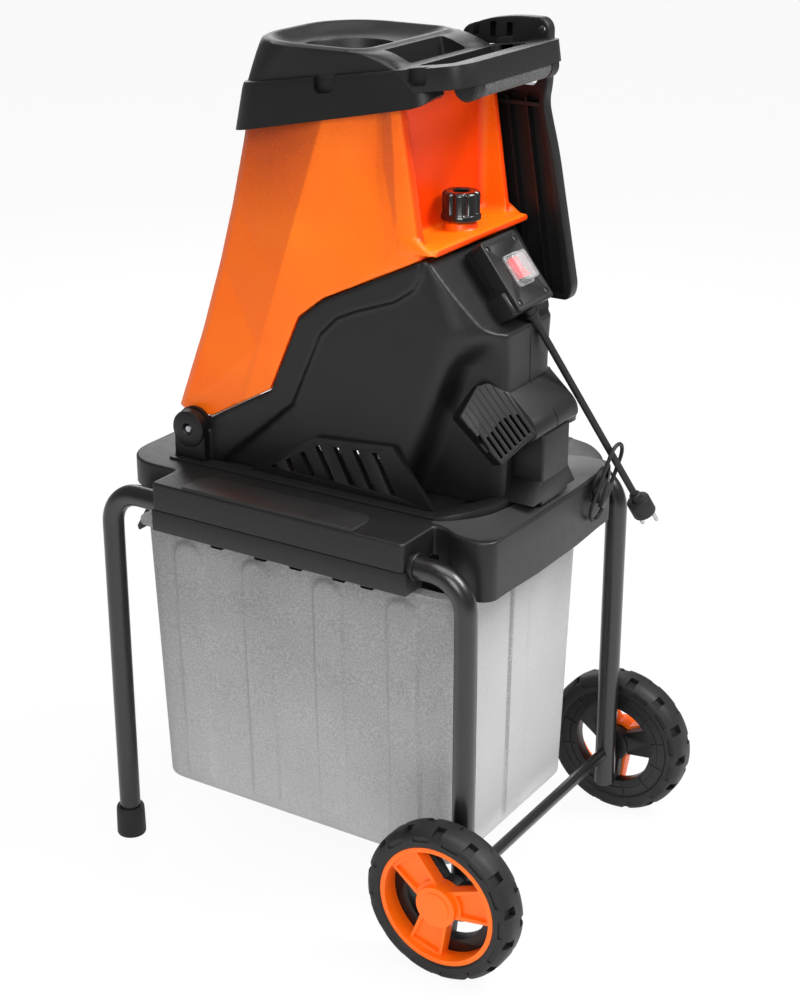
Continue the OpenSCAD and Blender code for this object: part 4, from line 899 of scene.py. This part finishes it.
def flankRing(h):
    # near half: panel skin, its rounded rear edge, the valley, the tower's side and rear;
    # the valley closes at the top
    edge = 53.5 + 0.372 * h if h < 175 else 118.6 - 0.4 * (h - 175)
    valley = [(30, 83), (edge - 12, 83), (edge - 5, 82), (edge - 0.5, 79), (edge + 2, 74), (edge + 3.4, 67),
              (edge + 5, 60), (edge + 8, 54), (edge + 14, 49.5), (max(edge + 24, 138), 45.5), (147, 44), (151, 41.5),
              (152, 37), (152, 10)]
    full = [(30, 83), (edge - 16, 83), (edge - 6, 82), (edge + 2, 78.5), (edge + 8, 74), (edge + 13, 69),
            (edge + 18, 63.5), (edge + 22, 58.5), (edge + 26, 54), (max(edge + 29, 146.5), 49.5), (149.5, 46.5),
            (151.5, 43.5), (152, 39), (152, 10)]
    share = min(max((h - 132) / 40, 0), 1)
    half = blend(valley, full, share * share * (3 - 2 * share))
    ring = [(x, -y, h + house["base"]) for x, y in half]
    return ring + [(x, y - (4 if x > 140 else 0), h + house["base"]) for x, y in reversed(half)]


def housingShape():
    d = house
    core = sideSlab(lifted([(-200, 0), (48, 0), (48, 223)] + parting[1:]), -d["panel"], d["panel"])
    band = sideSlab(lifted([(-200, 0), (-150, 0), (-70, 70), (-61, 78), (-27, 154), (-9, 172), (12, 182), (56, 198),
                            (76, 212), (84, 226)] + parting), -d["band"], d["band"])
    flank = loft([flankRing(h) for h in (0, 40, 80, 110, 130, 140, 148, 156, 164, 172, 180, 196, 218, 240)])
    slope = sideSlab(lifted([(84, 240), (88, 240), (136, 178.6), (143, 174), (152, 171.5), (190, 168), (190, 260),
                             (84, 260)]), -120, 120)
    roof = sideSlab(lifted([(30, 214), (84, 240), (84, 262), (30, 262)]), -120, 120)
    flank = carve(flank, slope, roof)
    foot = both(sideSlab(lifted([(-200, 0), (-162, 0), (-162, 33), (-200, 33)]), -98, -84))
    bm = melt([core, band, flank, foot], 1.8, 7)
    bmesh.ops.bisect_plane(bm, geom=[*bm.verts, *bm.edges, *bm.faces], plane_co=(0, 0, d["base"] + 0.4),
                           plane_no=(0, 0, -1), clear_outer=True)
    bmesh.ops.edgeloop_fill(bm, edges=[e for e in bm.edges if e.is_boundary])
    bmesh.ops.recalc_face_normals(bm, faces=bm.faces)
    return bm


def noseShape():
    # block over the motor: its head stands out over a narrower foot
    d = house
    head = sideSlab(lifted([(112, 70), (175, 70), (183, 76), (183, 84), (179, 92), (153, 115.5), (112, 115.5)]),
                    -d["nose"], d["nose"], corner=[0, 4, 3, 4, 5, 2, 0], edge=2.4, edgeSteps=3)
    foot = box(110, 182.6, -26, 26, d["base"] + 4, d["base"] + 74, edge=1.6, corner=2.4)
    skirt = loft([[(150, -26, 454), (182.6, -26, 454), (182.6, 26, 454), (150, 26, 454)],
                  [(150, -44, 434), (183.4, -44, 434), (183.4, 40, 434), (150, 40, 434)]])
    return joined(head, foot, softEdges(skirt, 1.2, 2, 25))


def housingHollow():
    d = house
    room = sideSlab(lifted([(-196, -6), (44, -6), (44, 300), (-196, 300)]), -d["inner"], d["inner"])
    upper = box(42, 86, -60, 60, d["base"] + 96, d["base"] + 212)
    lower = box(42, 116, -40, 40, d["base"] - 2, d["base"] + 130)
    swing = moved(rod(34.5, -86, 86, 64), quarter("X"), shift(d["hingeX"], 0, d["hingeZ"]))
    return [room, upper, lower, swing]


# corners of the vent hood's face, from the nose's edge down and round
hoodFace = [Vector(p) for p in ((153.3, -40, 116), (184, -40, 82.6), (165, -74, 56.5), (121.4, -78.1, 97.5),
                                (126.7, -56.6, 122.3), (134.5, -48.9, 124.9))]
hoodRun = (hoodFace[1] - hoodFace[0]).normalized()
hoodOut = hoodRun.cross(hoodFace[0] - hoodFace[2]).normalized()
hoodOut = hoodOut if hoodOut.y < 0 else -hoodOut
hoodSide = hoodOut.cross(hoodRun)
hoodSide = hoodSide if hoodSide.y < 0 else -hoodSide
hoodFlat = [((p - hoodFace[0]).dot(hoodRun), (p - hoodFace[0]).dot(hoodSide)) for p in hoodFace]


def hoodShape():
    lift = Vector((0, 0, house["base"]))
    outer = [tuple(p + lift) for p in hoodFace]
    inner = [tuple(p + lift - hoodOut * 26 + Vector((-8, 6, 0))) for p in hoodFace]
    return both(softEdges(loft([outer, inner]), 2, 3, 30))


def hoodSpan(across):
    # where a line down the face enters and leaves its outline
    hits = []
    for (a0, b0), (a1, b1) in zip(hoodFlat, hoodFlat[1:] + hoodFlat[:1]):
        if (b0 - across) * (b1 - across) < 0:
            hits.append(a0 + (a1 - a0) * (across - b0) / (b1 - b0))
    return min(hits), max(hits)


def hoodTool(start, end, across, width, low, high):
    # box on the hood's face, long down the slope
    turn = Matrix((hoodRun, hoodSide, hoodOut)).transposed().to_4x4()
    tool = box(start, end, across - width / 2, across + width / 2, low, high)
    tool = moved(tool, turn, Matrix.Translation(hoodFace[0] + Vector((0, 0, house["base"]))))
    bmesh.ops.reverse_faces(tool, faces=tool.faces)
    return tool


hoodWide = max(b for a, b in hoodFlat)
hoodLines = [hoodWide * (k + 0.7) / 9 for k in range(9)]


def ventSlots():
    tools = []
    for a, b in zip(hoodLines, hoodLines[1:]):
        mid = (a + b) / 2
        start, end = hoodSpan(mid)
        tools.append(hoodTool(start + (end - start) * 0.55, end - 5, mid, 2.6, -14, 9))
    return both(joined(*tools))


def ventRidges():
    tools = []
    for line in hoodLines:
        start, end = hoodSpan(line)
        tools.append(hoodTool(start + 3, end - 2.4, line, 0.9, -2, 0.8))
    return both(joined(*tools))


shell = housingShape()
windows = both(sideSlab(lifted([(-88, 9), (82, 9), (50, 49), (-29, 43)]), -96, -70))
shell = carve(shell, *housingHollow())
shell = carve(shell, windows)
shell = joined(shell, noseShape(), carve(hoodShape(), ventSlots()), ventRidges())
piece("housingShell", shell, "base", "blackPlastic", ("left_housing", "right_housing"), 38)


def seamStrip():
    # mould line down the middle of the tower and nose
    path = [(152.1, 590), (152.1, 542), (153.6, 540.2), (178.6, 517.2), (181.6, 512.6), (183, 507), (183, 502)]
    return sweep([(x, 0, z) for x, z in path], 0.35, 6)


piece("mouldLine", seamStrip(), "base", "blackPlastic")


def hingeDiscs():
    d = house
    disc = turned([(5.2, 12), (5.2, 14), (6.4, 15.4), (17, 15.4), (18.6, 14.6), (19, 13), (19, 1), (18, 0), (5.2, 0)],
                  64, closed=True)
    ring = turned([(19.4, 0), (20.6, 0), (20.6, 4), (19.4, 4)], 64, closed=True)
    place = (quarter("X"), shift(d["hingeX"], -84.6, d["hingeZ"]))
    return both(joined(moved(disc, *place), moved(ring, *place)))


piece("hingeDiscs", hingeDiscs(), "base", "blackPlastic")
pinShape = moved(turned([(0, 0), (4, 0), (4, 34.5), (3, 36), (0, 36)], 32), quarter("X"),
                 shift(house["hingeX"], -63, house["hingeZ"]))
piece("hingePins", both(pinShape), "base", "zincSteel", ("hinge_pins",))

pair("Grille", softEdges(nodeCopy("left_grille"), 0.7, 2, 35), "blackPlastic", "grille")
print("housing made")


# hopper
hopperForm = {"wall": 3.5, "recessX": 52, "recessHalf": 75, "ledge": 252}
collar = {"origin": 800, "tilt": 9, "low": -20, "top": 24, "front": -138, "rear": 100, "half": 95, "handleEnd": 137}
collarFrame = shift(0, 0, collar["origin"]) @ turnBy(-collar["tilt"], "Y")


def inCollar(bm):
    return moved(bm, collarFrame)


def hopperRing(h, inset=0):
    fall = 338 - h
    front = -136 - fall * 0.16 - fall * fall * 0.00036 + inset
    crease = -23 - (350 - h) * 0.34
    rear = 67 + (350 - h) * 0.155 - inset
    half = 55 + (350 - h) * 0.079 - inset
    side = 88 - inset
    sink = min(max((h - 230) / 70, 0), 1)  # soft valley beside the rear column
    span = rear - crease - 4
    near = [(front, -half + 14), (front + 4, -half + 4), (front + 14, -half - 3), (crease - 3, -side + 0.9),
            (crease, -side + 0.1), (crease + 4, -side)]
    near += [(crease + 4 + span * share, -side + deep * sink + base) for share, deep, base in
             ((0.25, 1.4, 0), (0.46, 5, 0), (0.6, 6.4, 0), (0.72, 5, 0), (0.84, 1.6, 0), (0.91, 0.6, 0.8),
              (0.98, 0, 3.4), (1, 0, 8))]
    z = h + house["base"]
    return [(x, y, z) for x, y in near] + [(x, -y, z) for x, y in reversed(near)]


def hopperShape():
    d = hopperForm
    heights = [46, 130, 200, 260, 320, 372, 396]
    form = loft([hopperRing(h) for h in heights])
    recess = box(d["recessX"], 200, -d["recessHalf"], d["recessHalf"], house["base"] + d["ledge"], 900)
    softEdges(recess, 9, 4, 30, lambda e: all(v.co.x < 60 for v in e.verts) or all(v.co.z < 700 for v in e.verts))
    under = lifted([(84.1, 240.8), (300, 240.8), (300, -60), (-300, -60), (-300, 30)])
    below = sideSlab([(x, z + 0.8) for x, z in lifted(parting[::-1])] + under, -150, 150)
    form = carve(form, recess, below, inCollar(box(-300, 300, -200, 200, -2, 200)))
    ledge = box(46, 100.5, -84, 84, house["base"] + 245, house["base"] + d["ledge"], edge=2.2)
    feet = both(loft([[(62, -88, 670.8), (98, -88, 670.8), (98, -80, 670.8), (62, -80, 670.8)],
                      [(62, -88, 684), (80, -86, 684), (80, -80, 684), (62, -80, 684)]]))
    pad = moved(turned([(0, -4), (17, -4), (15.6, 1.5), (15, 6.5), (14, 7.6), (0, 7.6)], 48),
                shift(75, 0, house["base"] + d["ledge"]))
    knuckle = moved(rod(13, 0, 20, 48), quarter("X"), shift(house["hingeX"], -65, house["hingeZ"]))
    return melt([form, ledge, feet, pad, both(knuckle)], 1.75, 4)


def hopperHollow():
    inner = loft([hopperRing(h, hopperForm["wall"]) for h in (30, 130, 260, 410)])
    keep = box(hopperForm["recessX"] - 4, 200, -84, 84, house["base"] + hopperForm["ledge"] - 8, 900)
    return carve(inner, keep)


def hopperCuts():
    mouthHole = moved(rod(44, 0, 200, 64), shift(-46, 0, 740))
    pinHole = moved(rod(4.2, -95, 95), quarter("X"), shift(house["hingeX"], 0, house["hingeZ"]))
    return [mouthHole, pinHole]


hopper = carve(hopperShape(), hopperHollow())
hopper = carve(hopper, *hopperCuts())
piece("hopperShell", hopper, "hopper", "hopperOrange", ("hopper",), 40)
print("hopper made")


# funnel
def collarRing(inset, w, rear=None, front=42, corner=20):
    back = collar["rear"] - inset if rear is None else rear
    lean = inset + min(inset, 6) * 1.5  # the front wall leans back more than the sides
    ring = roundRing(collar["front"] + lean, back, collar["half"] - inset, max(front - inset, 8),
                     max(corner - inset, 8), w, 12, (1, 1))
    return [tuple(collarFrame @ Vector(p)) for p in ring]


def mouthRing(inset, z):
    return roundRing(-112 + inset, 20 - inset, 80 - inset, 58 - inset, max(20 - inset / 2, 6), z, 12, (1, 1))


def throatRing(radius, z):
    return roundRing(-46 - radius, -46 + radius, radius, radius - 0.05, radius - 0.05, z, 12, (1, 1))


def between(a, b, share, lift=0):
    return [(x, y, z + lift) for x, y, z in blend(a, b, share)]


def funnelShape():
    top, low = collar["top"], collar["low"]
    edge = collarRing(11, top + 0.3, 64)
    lip = mouthRing(-6, 844.5)
    dome = [between(edge, lip, s, lift) for s, lift in ((0.3, 1.6), (0.6, 2.4), (0.85, 1.6))]
    bowlTop, throat = mouthRing(4, 845.4), throatRing(45, 835)
    bowl = [between(bowlTop, throat, s, -dip) for s, dip in ((0.25, 2.6), (0.5, 4), (0.75, 3))]
    outside = [collarRing(inset, w) for inset, w in (
        (0.4, low), (0, low + 1), (5.4, top - 6), (6, top - 3), (6.8, top - 1.2), (8, top - 0.1), (9.4, top + 0.1))]
    rim = [mouthRing(inset, z) for inset, z in ((-2.5, 846.2), (0, 847), (2.4, 846.6))]
    pipe = [throatRing(r, z) for r, z in ((44, 833), (43.6, 790), (45.6, 790), (46, 816))]
    inside = [collarRing(inset, w) for inset, w in ((14, 18.6), (9, 18.2), (5, low + 0.6), (4.2, low))]
    return loft([*outside, edge, *dome, lip, *rim, bowlTop, *bowl, throat, *pipe, *inside], closed=True)


def handleShape():
    # bar round the finger slot, rounded all along
    end = collar["handleEnd"]
    bar = flatSlab([(60, -88.4), (96, -94), (end, -94), (end, 94), (96, 94), (60, 88.4)], 4, collar["top"],
                   corner=[0, 20, 24, 24, 20, 0], steps=8)
    bar = carve(bar, fingerSlot())
    softEdges(bar, 6, 4, 50, lambda e: abs(e.verts[0].co.z - e.verts[1].co.z) < 1e-3
              and max(v.co.x for v in e.verts) > 61)
    return inCollar(bar)


def fingerSlot():
    return flatSlab(rect(72, 111, -68, 68), -40, 60, corner=9, steps=5)


notches = ((-25, 21), (75, 22))  # start and width along the collar


def notchCuts(spare=0):
    # the rear notch is cut a little wider in the collar than in the handle that covers it
    cuts = []
    for (u, w), more in zip(notches, (0, spare)):
        outline = rect(u - more, u + w + more, 9 - more, 26)
        cuts.append(both(sideSlab(outline, -120, -83.5 + more, corner=[5, 5, 0, 0])))
    return cuts


def funnelCuts():
    # notches, pocket, finger slot, and the skirt's lower edge that swings up to the handle
    pocket = box(34, 61, -60, 38, 17, 60, corner=3)
    swing = sideSlab([(-160, -40), (150, -40), (150, 3.6), (108, 3.6), (103, 2.2), (98, -1.4), (92, -5.6), (86, -8.4),
                      (78, -9.8), (66, -10.4), (-160, -20.6)], -130, 130)
    return [inCollar(bm) for bm in (*notchCuts(0.8), pocket, fingerSlot(), swing)]


funnel = carve(funnelShape(), *funnelCuts())
start, width = notches[0]
funnel = joined(funnel, inCollar(both(box(start - 3, start + width + 3, -84.5, -80, 3, 20))))
piece("funnelCollar", funnel, "hopper", "blackPlastic", ("funnel",), 40)
handle = carve(handleShape(), *[inCollar(bm) for bm in notchCuts()])
piece("carryHandle", handle, "hopper", "blackPlastic", (), 35)

gripPlace = (quarter("X"), shift(124, 0, 2.6))
gripRod = turned([(0, -75), (9.5, -75), (11, -73.5), (11, -60), (11.4, -59), (11.4, 59), (11, 60),
                  (11, 73.5), (9.5, 75), (0, 75)], 48)
gripRod = inCollar(moved(gripRod, *gripPlace))
piece("handleGrip", gripRod, "hopper", "gripRubber", ("handle_grip",))
gripEnd = turned([(0, 61), (11.2, 61), (12.2, 61.6), (12.2, 74), (10, 76.5), (0, 76.5)], 48)
gripEnd = both(moved(gripEnd, *gripPlace))
piece("gripEnds", inCollar(gripEnd), "hopper", "darkRubber")
print("funnel made")


# plunger
plungerForm = {"inner": 95.5, "outer": 108.5}


def plungerShape():
    d = plungerForm
    a, b = d["inner"], d["outer"]
    side = [(15, 836), (21, 847), (48, 856), (75, 860), (105, 860), (111, 852), (111, 798), (108, 782), (112, 765),
            (120, 736), (145, 605), (140, 593), (47, 593), (14, 765)]
    pocket = [(104, 791), (102, 780), (106, 763), (113, 734), (136, 599), (54, 599), (22, 763), (22, 791)]
    hole = [(32, 797), (98, 797), (101, 805), (101, 831), (97, 835), (34, 831)]
    board = sideSlab(side, a, b, corner=[6, 5, 8, 12, 5, 4, 7, 7, 8, 16, 7, 5, 6, 16], edge=1.6, edgeSteps=3)
    cuts = [sideSlab(pocket, a - 4, b - 3, corner=4), sideSlab(hole, a - 4, b + 4, corner=[5, 4, 4, 2.5, 2.5, 5])]
    cuts += [sideSlab(rect(x, x + 6.5, 838, 853), a - 4, b - 3, corner=1) for x in (30, 48, 66)]
    cuts.append(moved(rod(4, 0, 40, 24), quarter("X"), shift(103, 120, 849)))
    board = carve(board, *cuts)
    ribs = [loft([[(*spot, z) for spot in rect(u, u + 2.2, a + 1, b - 2)] for u, z in ((x, 785), (x + lean, 597))])
            for x, lean in ((46, 26), (66, 28), (86, 30))]
    shelf = sideSlab([(20, 777), (106, 777), (106, 781), (20, 781)], a + 0.6, b - 2, edge=0.6)
    return joined(board, shelf, *ribs)


hook = inCollar(box(66, 80, 86.5, 99, 10.5, 29.5, edge=1.2))
piece("feedPlunger", joined(plungerShape(), hook), "plunger", "blackPlastic", ("plunger",), 35)
print("plunger made")


# lock knob
knobForm = {"x": 75, "low": 685.5, "radius": 19, "height": 27, "flutes": 8, "fluteSteps": 12}


def knobRing(radius, z, depth):
    steps = knobForm["fluteSteps"]
    count = knobForm["flutes"] * steps
    ring = []
    for k in range(count):
        wave = math.cos(2 * math.pi * k / steps)
        r = radius - depth * max(0, wave) ** 2
        t = 2 * math.pi * k / count
        ring.append((r * math.cos(t), r * math.sin(t), z))
    return ring


def knobShape():
    r, h = knobForm["radius"], knobForm["height"]
    levels = [(r - 1.5, 0, 0), (r, 1, 0), (r, 4.6, 0), (r - 0.8, 5.8, 0.2), (r - 1.4, 7, 2.2), (r - 1.2, h - 3, 2.4),
              (r - 1.8, h - 1.2, 2.2), (r - 3.4, h, 1.4), (9, h, 0), (8, h - 0.8, 0), (8, h - 5, 0), (4, h - 5, 0)]
    bm = loft([knobRing(*level) for level in levels])
    return moved(bm, shift(knobForm["x"], 0, knobForm["low"]))


piece("lockKnob", knobShape(), "knob", "knobPlastic", ("lock_knob",), 40)


# switch
switchFrame = shift(134.31, 3, 644.71) @ turnBy(52, "Y")
switchSide = moved(box(13, 35.6, -36.5, -28, -30, -3.4, edge=2.2), switchFrame)
switchBox = joined(softEdges(nodeCopy("switch_box"), 1.6, 3, 40), switchSide)
piece("switchBox", switchBox, "base", "blackPlastic", ("switch_box",))
switchPlate = softEdges(nodeCopy("switch_plate"), 0.8, 2, 40)
piece("switchPlate", switchPlate, "base", "deckPlastic", ("switch_plate",))


def plateScrews():
    heads, holeShadeRings = [], []
    for x in (-28.5, 28.5):
        for y in (-25, 25):
            head = turned([(0, -12), (2, -12), (2, -1.6), (2.6, -1.5), (2.6, 0), (1.8, 0.5), (0, 0.6)], 32)
            head = carve(head, box(-2.2, 2.2, -0.4, 0.4, -0.3, 2), box(-0.4, 0.4, -2.2, 2.2, -0.3, 2))
            heads.append(moved(head, shift(x, y, -1.3)))
            # dark ring round each head: partly the wall of its hole, partly painted shade standing for the dark screw
            # hole
            holeShadeRing = turned([(2.7, -1.5), (4.4, -1.5), (4.4, 0.15), (2.7, 0.15)], 32, closed=True)
            holeShadeRings.append(moved(holeShadeRing, shift(x, y, 0)))
    return moved(joined(*heads), switchFrame), moved(joined(*holeShadeRings), switchFrame)


heads, holeShadeRings = plateScrews()
piece("plateScrews", heads, "base", "zincSteel", ("plate_screws",))
# dark rings that paint the shade in the screw holes
piece("screwHoleShade", holeShadeRings, "base", "darkRubber")
piece("switchRocker", softEdges(nodeCopy("rocker"), 0.7, 2, 35), "rocker", "redPlastic", ("rocker",))
switchCover = softEdges(nodeCopy("switch_cover"), 0.9, 3, 40)
piece("switchCover", switchCover, "base", "clearCover", ("switch_cover",))
ticks = [box(-0.4, 0.4, s * 20 - 3, s * 20 + 3, -0.4, 0.25) for s in (-1, 1)]
ticks += [box(s * 22.5 - 3, s * 22.5 + 3, -0.4, 0.4, -0.4, 0.25) for s in (-1, 1)]
piece("plateTicks", moved(joined(*ticks), switchFrame), "base", "darkRubber")


# cord hook and loop
cordHook = softEdges(nodeCopy("cord_hook"), 0.8, 2, 40)
piece("cordHook", cordHook, "base", "blackPlastic", ("cord_hook",))
clipFrame = shift(195, 77, 410.5) @ turnBy(9, "Y") @ turnBy(-22, "X")
loopForm = {"low": -15, "round": 14, "length": 80, "radius": 2, "sides": 14}


def loopShape():
    low, r, sides = loopForm["low"], loopForm["round"], loopForm["sides"]
    high = low + loopForm["length"] - 2 * r
    path = [(0, r * math.cos(math.radians(a)), high + r * math.sin(math.radians(a))) for a in range(0, 181, 15)]
    path += [(0, -r * math.cos(math.radians(a)), low - r * math.sin(math.radians(a))) for a in range(0, 181, 15)]
    rings = []
    count = len(path)
    for i, p in enumerate(path):
        ahead = (Vector(path[(i + 1) % count]) - Vector(path[i - 1])).normalized()
        out = ahead.cross(Vector((1, 0, 0))).normalized()
        rings.append([Vector(p) + (out * math.cos(t) + Vector((1, 0, 0)) * math.sin(t)) * loopForm["radius"]
                      for t in (2 * math.pi * k / sides for k in range(sides))])
    return moved(loft(rings, closed=True), clipFrame)


piece("cordLoop", loopShape(), "base", "darkRubber", ("cord_loop",))
print("switch and cord clip made")


# the CAD nodes that stay
keptFinish = {
    "zincSteel": ("axle_nuts", "leg_screws", "housing_screws", "motor_plate", "upper_bearing", "lower_bearing",
                  "motor_shaft", "blade_disc", "blades", "blade_screws", "disc_nut", "lock_stud"),
    "motorPaint": ("motor",), "copperWinding": ("armature",), "blackPlastic": ("cooling_fan",),
    "brassTurned": ("lock_insert",),
}
for finish, names in keptFinish.items():
    for name in names:
        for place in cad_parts[name].material_slots:
            place.material = finishes[finish]

print("all pieces made")
